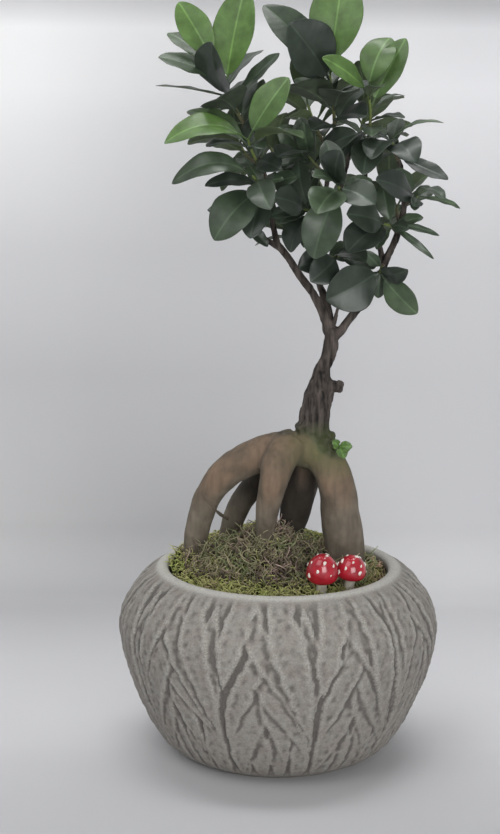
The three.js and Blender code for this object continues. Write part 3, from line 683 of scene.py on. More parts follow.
@dataclass(frozen=True)
class FigLeaf:
    """A waxy fig leaf: dark and glossy above, paler and duller below, with a pale midrib and faint veins.

    New leaves are bright yellow green, and darken as they harden. The tone mark runs from 0, old, to 1, new.
    """

    old: str = "2f3830"
    grown: str = "43523d"
    new: str = "57743c"
    under_old: str = "444e3f"
    under_new: str = "66794a"
    rib_lift: float = 1.7
    vein_mm: float = 5.2
    vein_slope: float = 0.55
    mottle_mm: float = 9.0
    depth_mm: float = 0.1
    under_roughness: float = 0.6
    upper_roughness: float = 0.37

    def material(self) -> bpy.types.Material:
        """Mixes upper and lower colours by the face mark, and draws the midrib and the side veins.

        The veins are the crests of a cosine in the millimetres along the leaf, less a share of those across.

        Returns:
            The material.
        """
        material, tree = new_material("fig_leaf", Specular_IOR_Level=0.5)
        place = add_node(tree, "TexCoord").outputs["Object"]
        tone, face, across, along = (
            add_node(tree, "Attribute", attribute_name=mark).outputs["Fac"]
            for mark in ("tone", "face", "across", "along")
        )
        aside = add_node(tree, "Math", {0: across}, operation="ABSOLUTE")
        slant = add_node(tree, "Math", {0: aside, 1: self.vein_slope}, operation="MULTIPLY")
        run = add_node(tree, "Math", {0: along, 1: slant}, operation="SUBTRACT")
        turn = add_node(tree, "Math", {0: run, 1: 2 * math.pi / self.vein_mm}, operation="MULTIPLY")
        wave = add_node(tree, "Math", {0: turn}, operation="COSINE")
        vein = add_node(tree, "MapRange", {"Value": wave}, limits=(0.6, 1.0, 0.0, 0.07))
        rib = add_node(tree, "MapRange", {"Value": aside}, limits=(0.2, 0.9, 1.0, 0.0))
        lines = add_node(tree, "Math", {0: rib, 1: vein}, operation="MAXIMUM")
        links = {"Vector": place, "Scale": per_metre(self.mottle_mm), "Detail": 3.0}
        mottle = add_node(tree, "TexNoise", links)
        stops = [(0.0, self.old), (0.4, self.grown), (1.0, self.new)]
        upper = add_node(tree, "ValToRGB", {"Fac": tone}, stops=stops)
        stops = [(0.0, self.under_old), (1.0, self.under_new)]
        under = add_node(tree, "ValToRGB", {"Fac": tone}, stops=stops)
        sided = add_node(tree, "Mix", {FACTOR: face, FIRST: under, SECOND: upper}, data_type="RGBA")
        raised = add_node(tree, "MapRange", {"Value": lines}, limits=(0.0, 1.0, 1.0, self.rib_lift))
        shade = add_node(tree, "MapRange", {"Value": mottle}, limits=(0.3, 0.7, 0.74, 1.28))
        light = add_node(tree, "Math", {0: raised, 1: shade}, operation="MULTIPLY")
        links = {FACTOR: 1.0, FIRST: sided.outputs[MIXED], SECOND: light}
        final = add_node(tree, "Mix", links, data_type="RGBA", blend_type="MULTIPLY")
        limits = (0.0, 1.0, self.under_roughness, self.upper_roughness)
        gloss = add_node(tree, "MapRange", {"Value": face}, limits=limits)
        bump = add_node(tree, "Bump", {"Height": wave, "Strength": 0.1, "Distance": self.depth_mm * MM})
        return finished(material, Base_Color=final.outputs[MIXED], Roughness=gloss, Normal=bump)


@dataclass(frozen=True)
class GreenTwig:
    """A young twig: smooth green skin that turns to thin grey-brown bark at its foot."""

    bark: str = "5f5443"
    green: str = "6d7d42"
    speckle_mm: float = 2.0
    depth_mm: float = 0.3

    def material(self) -> bpy.types.Material:
        """Mixes bark and green skin along the twig's reach mark.

        Returns:
            The material.
        """
        material, tree = new_material("green_twig", Roughness=0.6)
        place = add_node(tree, "TexCoord").outputs["Object"]
        reach = add_node(tree, "Attribute", attribute_name="reach").outputs["Fac"]
        links = {"Vector": place, "Scale": per_metre(self.speckle_mm), "Detail": 3.0}
        speckle = add_node(tree, "TexNoise", links)
        colour = add_node(tree, "ValToRGB", {"Fac": reach}, stops=[(0.15, self.bark), (0.75, self.green)])
        bump = add_node(tree, "Bump", {"Height": speckle, "Strength": 0.4, "Distance": self.depth_mm * MM})
        return finished(material, Base_Color=colour, Normal=bump)


@dataclass(frozen=True)
class GlossEnamel:
    """Red enamel dipped on a foam ball: wet gloss, with a slight orange peel."""

    deep: str = "8e1423"
    bright: str = "bd2536"
    patch_mm: float = 8.0
    peel_mm: float = 1.5
    depth_mm: float = 0.3

    def material(self) -> bpy.types.Material:
        """Mixes two reds by soft noise under a clear coat.

        Returns:
            The material.
        """
        material, tree = new_material("gloss_enamel", Roughness=0.22, Coat_Weight=0.6, Coat_Roughness=0.06)
        place = add_node(tree, "TexCoord").outputs["Object"]
        links = {"Vector": place, "Scale": per_metre(self.patch_mm), "Detail": 2.0}
        patches = add_node(tree, "TexNoise", links)
        colour = add_node(tree, "ValToRGB", {"Fac": patches}, stops=[(0.3, self.deep), (0.7, self.bright)])
        peel = add_node(tree, "TexNoise", {"Vector": place, "Scale": per_metre(self.peel_mm)})
        bump = add_node(tree, "Bump", {"Height": peel, "Strength": 0.15, "Distance": self.depth_mm * MM})
        return finished(material, Base_Color=colour, Normal=bump)


@dataclass(frozen=True)
class MattPaint:
    """Thick off-white craft paint, a little uneven and dusty."""

    name: str
    light: str
    dusty: str
    patch_mm: float = 4.0
    depth_mm: float = 0.4

    def material(self) -> bpy.types.Material:
        """Mixes the clean and the dusty colour by noise.

        Returns:
            The material.
        """
        material, tree = new_material(self.name, Roughness=0.55)
        place = add_node(tree, "TexCoord").outputs["Object"]
        links = {"Vector": place, "Scale": per_metre(self.patch_mm), "Detail": 3.0}
        patches = add_node(tree, "TexNoise", links)
        colour = add_node(tree, "ValToRGB", {"Fac": patches}, stops=[(0.35, self.dusty), (0.6, self.light)])
        bump = add_node(tree, "Bump", {"Height": patches, "Strength": 0.2, "Distance": self.depth_mm * MM})
        return finished(material, Base_Color=colour, Normal=bump)


# ------------------------------------------------------------------ the bowl


@dataclass
class CastLeaf:
    """One kind of cast leaf, hanging in a fan. Turns are in degrees from the fan's line."""

    base_turn: float
    top: float
    tip: float
    tip_turn: float
    half_width: float
    rise: float


@dataclass
class Bowl:
    """Round bowl whose outside is covered in cast leaves that hang in overlapping fans.

    outside and inside hold (radius, height). The pairs of heights say where a share of the relief or of a
    mark begins and where it is whole. jitter_mm is how far the top and the tip of a copy may lie from their
    leaf's.
    """

    columns: int = 640
    outside_rows: int = 136
    outside: tuple[tuple[float, float], ...] = (
        (63, 0), (74, 6), (85, 18), (97, 42), (106, 68), (110, 90), (108, 104), (102, 116), (94, 126),
        (88, 131.5), (84.5, 134.2), (81, 135),
    )
    inside: tuple[tuple[float, float], ...] = (
        (79.3, 134.8), (77.8, 133.8), (77.1, 132), (77, 129), (88, 118), (99, 90), (98, 68), (84, 36),
        (60, 10),
    )
    repeats: int = 10
    relief_depth: float = 2.2
    relief_start: float = math.radians(-13.6)
    ground: float = 0.3
    leaves: tuple[CastLeaf, ...] = (
        CastLeaf(-15, 54, -4, -13, 8, 0.05),
        CastLeaf(13, 50, -4, 14, 8, 0.1),
        CastLeaf(5, 56, -4, 7, 8.5, 0.15),
        CastLeaf(-5, 64, -4, -5, 8.5, 0.2),
        CastLeaf(16, 94, 10, 3, 10, 0.3),
        CastLeaf(-19, 86, 20, -10, 8.5, 0.34),
        CastLeaf(-22, 98, 30, -1.5, 9, 0.45),
        CastLeaf(16, 122, 30, 1, 9.5, 0.55),
        CastLeaf(-3, 130, 50, 0, 7.5, 0.6),
        CastLeaf(-28, 150, 46, -4, 10, 0.7),
        CastLeaf(9, 150, 72, 2, 10, 0.85),
        CastLeaf(-17, 152, 40, -1.5, 11.5, 1),
    )
    jitter_mm: tuple[float, float] = (2.5, 6.0)
    ruffle_mm: float = 7.0
    midrib_mm: float = 1.3
    vein_mm: float = 7.5
    swells: Grain = Grain(0.12, 8.0, 5)
    pitting: Grain = Grain(0.12, (4.0, 4.0, 2.8), 9)
    foot_fade: tuple[float, float] = (1, 12)
    lip_fade: tuple[float, float] = (128, 134)
    # Heights over which the painted highlight on the edges grows stronger, as light from above makes it.
    highlight_rise: tuple[float, float] = (30, 90)
    lip_from: tuple[float, float] = (132, 134.5)
    seed: int = 5

    def profile(self) -> Array:
        """The bowl's section, from the foot's rim over the lip and down inside to the floor.

        Returns:
            Rows of (radius, height).
        """
        outer = Route([(r, 0, z) for r, z in self.outside]).spaced(np.linspace(0, 1, self.outside_rows))
        inner = np.array([(r, 0, z) for r, z in self.inside], float)
        return np.vstack([outer, inner])[:, [0, 2]]

    def relief(self, turn: Array, height: Array, radius: Array) -> Array:
        """Height of the cast leaves.

        Each leaf lies over those before it, and each copy is a little different.

        Args:
            turn: Angle of each place round the bowl, in radians.
            height: Height of each.
            radius: Distance of each from the middle line.

        Returns:
            The leaves' height at each place, in shares of the relief's depth.
        """
        rng = np.random.default_rng(self.seed)
        period = 2 * math.pi / self.repeats
        level = np.full_like(height, self.ground)
        for leaf in self.leaves:
            for copy in range(self.repeats):
                jitter = rng.uniform(-1, 1, 6)
                level = self.lay_leaf(level, leaf, turn - copy * period, height, radius, jitter)
        return level

    def lay_leaf(
        self, level: Array, leaf: CastLeaf, turn: Array, height: Array, radius: Array, jitter: Array
    ) -> Array:
        """Lays one leaf over the level so far. Its line is straight in height and turn, and sways a little.

        Args:
            level: The level at each place.
            leaf: The kind of leaf.
            turn: Angle of each place from the fan's line.
            height: Height of each.
            radius: Distance of each from the middle line.
            jitter: Six values from -1 to 1 that make this copy differ.

        Returns:
            The new level.
        """
        top, tip = (leaf.top, leaf.tip) + np.multiply(self.jitter_mm, jitter[:2])
        along = (top - height) / (top - tip)
        share = np.clip(along, 1e-4, 1 - 1e-4)
        swept = share + 0.12 * np.sin(2 * math.pi * share) * jitter[5]
        centre = np.radians(leaf.base_turn + 1.2 * jitter[2] + (leaf.tip_turn - leaf.base_turn) * swept)
        distance = ((turn - centre + math.pi) % (2 * math.pi) - math.pi) * radius
        near = (along > 0) & (along < 1) & (np.abs(distance) < 2 * leaf.half_width)
        level = level.copy()
        level[near] = self.over(level[near], leaf, jitter, distance[near], share[near], top - tip)
        return level

    def over(
        self, level: Array, leaf: CastLeaf, jitter: Array, distance: Array, share: Array, length: float
    ) -> Array:
        """The level with one leaf over it, and a soft groove round the leaf.

        Across, a leaf is a shallow dish with a ruffled edge, a raised midrib and slanted veins. Its edge, rib
        and groove are bell curves, its veins a sine, and its half width a bent half sine down its length.

        Args:
            level: The level at each place near the leaf.
            leaf: The kind of leaf.
            jitter: The copy's own six values.
            distance: Millimetres of each place from the leaf's line.
            share: Share of the way down the leaf.
            length: The leaf's length.

        Returns:
            The new level.
        """
        reach = leaf.half_width * (1 + 0.14 * jitter[3]) * np.sin(math.pi * share**0.85) ** 0.95
        span = share * length
        place = np.stack([distance, span, 40.0 * jitter[4] + 0 * span], axis=-1)
        ruffle = (0.12 + 0.12 * leaf.rise) * rough(place, self.ruffle_mm, 2, self.seed)
        across = np.abs(distance) / np.maximum(reach * (1 + ruffle), 0.3)
        edge = 0.16 * np.exp(-(((across - 0.78) / 0.2) ** 2)) * (1 + 5 * ruffle)
        midrib = 0.08 * np.exp(-((distance / self.midrib_mm) ** 2)) * (1 - share)
        slanted = span - np.abs(distance) * 1.1
        veins = 0.05 * np.sin(2 * math.pi * slanted / self.vein_mm) * smooth(across, 0.1, 0.5)
        body = 0.45 + 0.45 * leaf.rise + 0.1 * across**2 + edge + midrib + veins
        groove = 0.3 * np.exp(-(((across - 1.22) / 0.28) ** 2)) * smooth(reach, 1.0, 6.0)
        cover = (1 - smooth(across, 0.84, 1.08)) * smooth(share, 0.0, 0.03)
        return (level - groove) * (1 - cover) + body * cover

    def build(self) -> Shape:
        """The whole bowl as one closed skin of rings from the foot to the floor inside.

        Returns:
            The shape, with marks for painted shade in the grooves, painted highlights on the raised edges, and
            the pale lip.
        """
        rows = self.profile()
        angle = circle(self.columns)
        radius, height = (np.repeat(rows[:, [k]], self.columns, axis=1) for k in (0, 1))
        turn = np.broadcast_to(np.arctan2(np.cos(angle), -np.sin(angle)), radius.shape)
        outer = (np.arange(len(rows)) < self.outside_rows)[:, None]
        fade = smooth(height, *self.foot_fade) * (1 - smooth(height, *self.lip_fade)) * outer
        level = self.relief(turn + self.relief_start, height, radius)
        place = np.stack([radius * np.cos(angle), radius * np.sin(angle), height], axis=-1)
        level = level + self.swells.at(place) + self.pitting.at(place)
        out = radius + self.relief_depth * level * fade
        blurred = self.blurred(level)
        # The painted highlight grows stronger up the bowl's side, as if lit from above.
        painted_highlight = 0.3 + 0.7 * smooth(height, *self.highlight_rise)
        marks = {
            # Painted shade where the surface lies below its surroundings.
            "groove": smooth(blurred - level, -0.04, 0.24) * fade,
            # Painted highlight where the surface stands above its surroundings.
            "edge": smooth(level - blurred, 0.03, 0.2) * fade * painted_highlight,
            "lip": np.broadcast_to(smooth(height, *self.lip_from), radius.shape),
        }
        rings = np.stack([out * np.cos(angle), out * np.sin(angle), height], axis=-1)
        return skins(rings[None], {name: values[None] for name, values in marks.items()})

    @staticmethod
    def blurred(level: Array) -> Array:
        """Mean of the level over a few millimetres each way, by shifted copies."""
        wide = sum(np.roll(level, shift, axis=1) for shift in range(-4, 5)) / 9
        return sum(np.roll(wide, shift, axis=0) for shift in range(-3, 4)) / 7

    def dress(self) -> None:
        """Makes the bowl's piece."""
        place_piece("bowl", self.build(), [CastCement().material()], ("pot",))


# ------------------------------------------------------------------ the wood


@dataclass
class Limb:
    """A tapered limb: its route, and radii spread evenly along it. lobes and twist shape its knots."""

    route: tuple[tuple[float, float, float], ...]
    radii: tuple[float, ...]
    lobes: int = 3
    twist: float = 13.6

    def curve(self) -> Route:
        """The limb's middle line."""
        return Route(self.route)

    def radius_at(self, share: Array) -> Array:
        """Radii at shares of the length."""
        return np.interp(share * (len(self.radii) - 1), np.arange(len(self.radii)), self.radii)

    def build(self, spacing: float, around: int, knots: float = 0.0) -> Shape:
        """A closed tube, with a section swelled by a sine that turns about it along its length.

        Args:
            spacing: Millimetres from ring to ring.
            around: Points in each ring.
            knots: Height of the swellings, as a share of the radius.

        Returns:
            The tube.
        """
        curve = self.curve()
        share = np.linspace(0, 1, max(int(curve.length / spacing), 4))
        ripple = np.sin(self.lobes * circle(around)[None] + self.twist * share[:, None])
        reach = self.radius_at(share)[:, None] * (1 + knots * ripple)
        return tubes(curve.spaced(share)[None], reach[None], around)


ROOTS = {
    "left": Limb(
        (
            (10, 8, 217), (-12, 4, 214), (-30, 2, 206), (-43, 4, 193), (-52, 9, 176), (-57, 13, 158),
            (-60, 16, 138), (-61, 17, 102),
        ),
        (13, 12.4, 11.4, 10, 9, 8.4, 8, 8.4),
    ),
    "front_middle": Limb(
        (
            (8, 2, 220), (0, -9, 212), (-4, -15, 200), (-7, -15, 184), (-9, -11, 166), (-10, -4, 143),
            (-11, 0, 104),
        ),
        (13, 11.4, 9, 6.8, 5.8, 5.2, 5),
    ),
    "back_left": Limb(
        ((6, 16, 212), (-12, 26, 192), (-24, 32, 175), (-32, 34, 158), (-37, 35, 137), (-39, 36, 104)),
        (8.5, 8.6, 8.4, 7.4, 6.4, 5),
    ),
    "back_middle": Limb(
        ((20, 16, 210), (18, 22, 192), (14, 26, 174), (10, 28, 156), (8, 28, 134), (8, 28, 104)),
        (9, 12, 11.4, 8, 5, 4.4),
    ),
    "right": Limb(
        ((27, 6, 217), (35, 0, 206), (40, -2, 190), (43, 0, 172), (46, 2, 152), (47, 3, 130), (47, 3, 102)),
        (13, 12.6, 13, 13.8, 13.6, 13, 12),
    ),
}
CROWN = Limb(((10, 7, 216), (24, 7, 217), (38, 7, 216)), (12, 15.5, 12))
TRUNK = Limb(
    (
        (23, 8, 226), (24, 8, 236), (25.5, 8, 244), (27, 8, 251), (28, 8, 258), (28.5, 8, 266),
        (30, 7.5, 273), (33, 7, 279), (35, 7, 287), (35.5, 7, 294), (36, 8, 302),
    ),
    (12, 10.8, 10.5, 10.5, 10.2, 7.8, 6, 4.9, 5.1, 5.5, 5),
)
SAWN_STUB = Limb(((29, 7, 262), (37, 5, 262), (44, 3, 261)), (5.4, 4.8, 4.4))
BRANCHES = {
    "left": Limb(
        ((35, 8, 297), (28, 7, 316), (21, 5, 329), (14, 3, 338), (3, -2, 355), (-2, -4, 361)),
        (4.4, 3, 2.8, 2.4),
    ),
    "left_low": Limb(((-1, -4, 359), (-10, -8, 365), (-17, -12, 370)), (2.2, 1.7)),
    "left_up": Limb(
        ((-2, -4, 360), (-6, -2, 377), (-9, 0, 395), (-13, 4, 413), (-19, 6, 425)), (2.3, 1.9, 1.6)
    ),
    "middle": Limb(
        (
            (36, 8, 299), (31, 14, 321), (27, 20, 333), (26, 26, 354), (29, 28, 378), (32, 24, 403),
            (35, 18, 424),
        ),
        (4, 2.6, 2.3, 2, 1.7),
    ),
    "right": Limb(
        (
            (37, 8, 294), (48, 9, 308), (55, 10, 317), (63, 10, 331), (69, 10, 340), (74, 8, 353),
            (79, 6, 365), (84, 4, 388), (81, 4, 415),
        ),
        (3.8, 2.8, 2.6, 2.2, 1.7),
    ),
    "front": Limb(((26, 26, 352), (29, 6, 368), (34, -14, 384), (37, -28, 396)), (2.2, 1.7)),
    "back": Limb(((28, 27, 369), (38, 45, 383), (45, 55, 403), (49, 60, 421)), (2.2, 1.6)),
    "back_left": Limb(((-8, -1, 386), (-1, 22, 396), (3, 40, 409)), (2, 1.6)),
    "upright": Limb(((71, 9, 345), (65, 15, 373), (59, 14, 397), (57, 12, 414)), (2.2, 1.9, 1.6)),
}
DRY_TWIG = Limb(((36, 7, 303), (38, 4, 310), (40, 3, 318)), (2, 1.1))
AERIAL_ROOT = Limb(((-52, 2, 192), (-52, -4, 185), (-46, 0, 176), (-41, 14, 167), (-34, 34, 158)), (1, 1))


@dataclass
class Wood:
    """The tree without its leaves, in two pieces: the thick wood, and the branches, which need a finer skin.

    collar_height is where the graft is on its high side, collar_drop how much lower it is on the other, and
    collar_width how thick its ring is. damp is how strong the painted shade on the inner roots is.
    """

    shoots: list[Limb]
    thick_voxel: float = 1.15
    thin_voxel: float = 0.75
    collar_height: float = 232.0
    collar_drop: float = 15.0
    collar_width: float = 2.6
    collar_rise: float = 1.5
    collar_lumps: Grain = Grain(2.0, 3.6, 31)
    trunk_centre: tuple[float, float] = (25.0, 8.0)
    graft_edge: Grain = Grain(1.6, 7.0, 61)
    lumps: Grain = Grain(0.6, 14.0, 3)
    ridges: Grain = Grain(0.2, (3.4, 3.4, 20.0), 11)
    cracks: Grain = Grain(1.0, (3.6, 3.6, 7.0), 23)
    crack_depth: float = 0.9
    knobs: Grain = Grain(0.7, 5.0, 37)
    # Strength of the painted shade on the inner roots.
    damp: float = 0.8

    def grown_together(self, name: str, limbs: list[Shape], voxel: float, rounds: int) -> tuple[Shape, Array]:
        """One skin over overlapping limbs: a voxel remesh, then smoothing that leaves a fillet at each fork.

        Args:
            name: Name for the mesh while it is made.
            limbs: The limbs.
            voxel: Size of the remesh's cells, in millimetres.
            rounds: How often the skin is smoothed.

        Returns:
            The skin, and the normals of its points.
        """
        holder = bpy.data.objects.new(name, to_mesh(name, joined(limbs)))
        bpy.context.scene.collection.objects.link(holder)
        remesh = holder.modifiers.new("skin", "REMESH")
        remesh.mode = "VOXEL"
        remesh.voxel_size = voxel * MM
        relax = holder.modifiers.new("fillets", "SMOOTH")
        relax.factor = 0.5
        relax.iterations = rounds
        evaluated = holder.evaluated_get(bpy.context.evaluated_depsgraph_get())
        skin = evaluated.to_mesh()
        points, normals = (
            from_mesh(skin.vertices, what, 3, np.float32).reshape(-1, 3).astype(float)
            for what in ("co", "normal")
        )
        corners = from_mesh(skin.loops, "vertex_index")
        totals, starts = (from_mesh(skin.polygons, what) for what in ("loop_total", "loop_start"))
        faces = [
            (corners[starts[totals == size][:, None] + np.arange(size)].astype(np.int64), 0)
            for size in (3, 4)
            if np.any(totals == size)
        ]
        evaluated.to_mesh_clear()
        bpy.data.objects.remove(holder)
        return Shape(points / MM, faces), normals

    def weathered(self, shape: Shape, normals: Array, damp: float) -> Shape:
        """Moves each point along its normal: lumps, lengthwise ridges, cracks on old bark, and the collar.

        All of them are rough fields. The collar is a bell curve in height, and only slim wood has low lumps.

        Args:
            shape: The smooth wood.
            normals: The normals of its points.
            damp: How strong the painted shade on its inner roots is.

        Returns:
            The wood, with marks for old bark, painted shade on the inner roots, green film, and warm painted
            light on the upper roots.
        """
        points = shape.points
        x, y, z = points.T
        graft = self.collar_height - self.collar_drop * smooth(x, 16, 36)
        old = smooth(z - graft + self.graft_edge.at(points), -5.0, -1.0)
        cracks = -self.crack_depth * smooth(self.cracks.at(points), 0.1, 0.5) * old
        away = np.hypot(x - self.trunk_centre[0], y - self.trunk_centre[1])
        ring = np.exp(-(((z - graft) / self.collar_width) ** 2)) * (1 - smooth(away, 17, 23))
        collar = ring * (self.collar_rise + self.collar_lumps.at(points))
        slim = 1 - 0.7 * smooth(z, 290, 320)
        raised = self.lumps.at(points) + self.ridges.at(points) + cracks + self.knobs.at(points) * old
        middle = smooth(x, -20, 0)
        inner = smooth(y, 4, 13) * smooth(x, -44, -34) * (1 - smooth(x, 24, 31)) * (1 - smooth(z, 200, 214))
        # How much each face looks to the front and up, where the warm painted light goes.
        sunny = smooth(-normals[:, 1] + 0.6 * normals[:, 2], 0.1, 0.9)
        marks = {
            "age": old,
            # Painted shade on the inner roots, where the other roots shade them.
            "damp": damp * inner * (middle + (1 - middle) * smooth(z, 158, 188)),
            "film": smooth(z, 192, 216) * (1 - smooth(z, 226, 240)) * smooth(x, -12, 30),
            # Warm painted light on the upper roots where they face the front and up.
            "glow": smooth(z, 168, 196) * (1 - old) * (1 - smooth(y, 8, 16)) * sunny,
        }
        return Shape(points + normals * (raised * slim + collar)[:, None], shape.faces, marks)

    def dress(self) -> None:
        """Makes the two pieces of wood."""
        bark = [FigBark().material()]
        thick = [root.build(3.0, 28, 0.04) for root in ROOTS.values()]
        thick += [CROWN.build(2.0, 24), TRUNK.build(2.0, 28, 0.05), SAWN_STUB.build(2.0, 20)]
        wood = self.weathered(*self.grown_together("thick_wood", thick, self.thick_voxel, 6), self.damp)
        place_piece("roots_and_trunk", wood, bark, ("tree",))
        thin = [branch.build(1.5, 16) for branch in BRANCHES.values()]
        thin += [limb.build(1.0, 12) for limb in (DRY_TWIG, AERIAL_ROOT, *self.shoots)]
        branches = self.weathered(*self.grown_together("thin_wood", thin, self.thin_voxel, 3), 0.0)
        place_piece("branches", branches, bark, ("tree",))


# ------------------------------------------------------------------ leafy twigs


class Tone(float, Enum):
    """How new a leaf is, from the dark inner leaves to the bright ones at the shoots' ends."""

    OLD = 0.0
    GROWN = 0.3
    SOFT = 0.55
    FRESH = 0.8
    NEW = 1.0


OLD, GROWN, SOFT, FRESH, NEW = (float(tone.value) for tone in Tone)


@dataclass
class Spray:
    """A leafy twig.

    twig starts on a branch. Each of leaves is (place along the twig, tip x, y and z, width, arch, turn,
    tone). grown more leaves, each length long, fill the free space round the twig.
    """

    name: str
    twig: tuple[tuple[float, float, float], ...]
    leaves: tuple[tuple[float, ...], ...] = ()
    grown: int = 0
    length: float = 0.0
    shoot: float = 5.0
    tone: float = GROWN


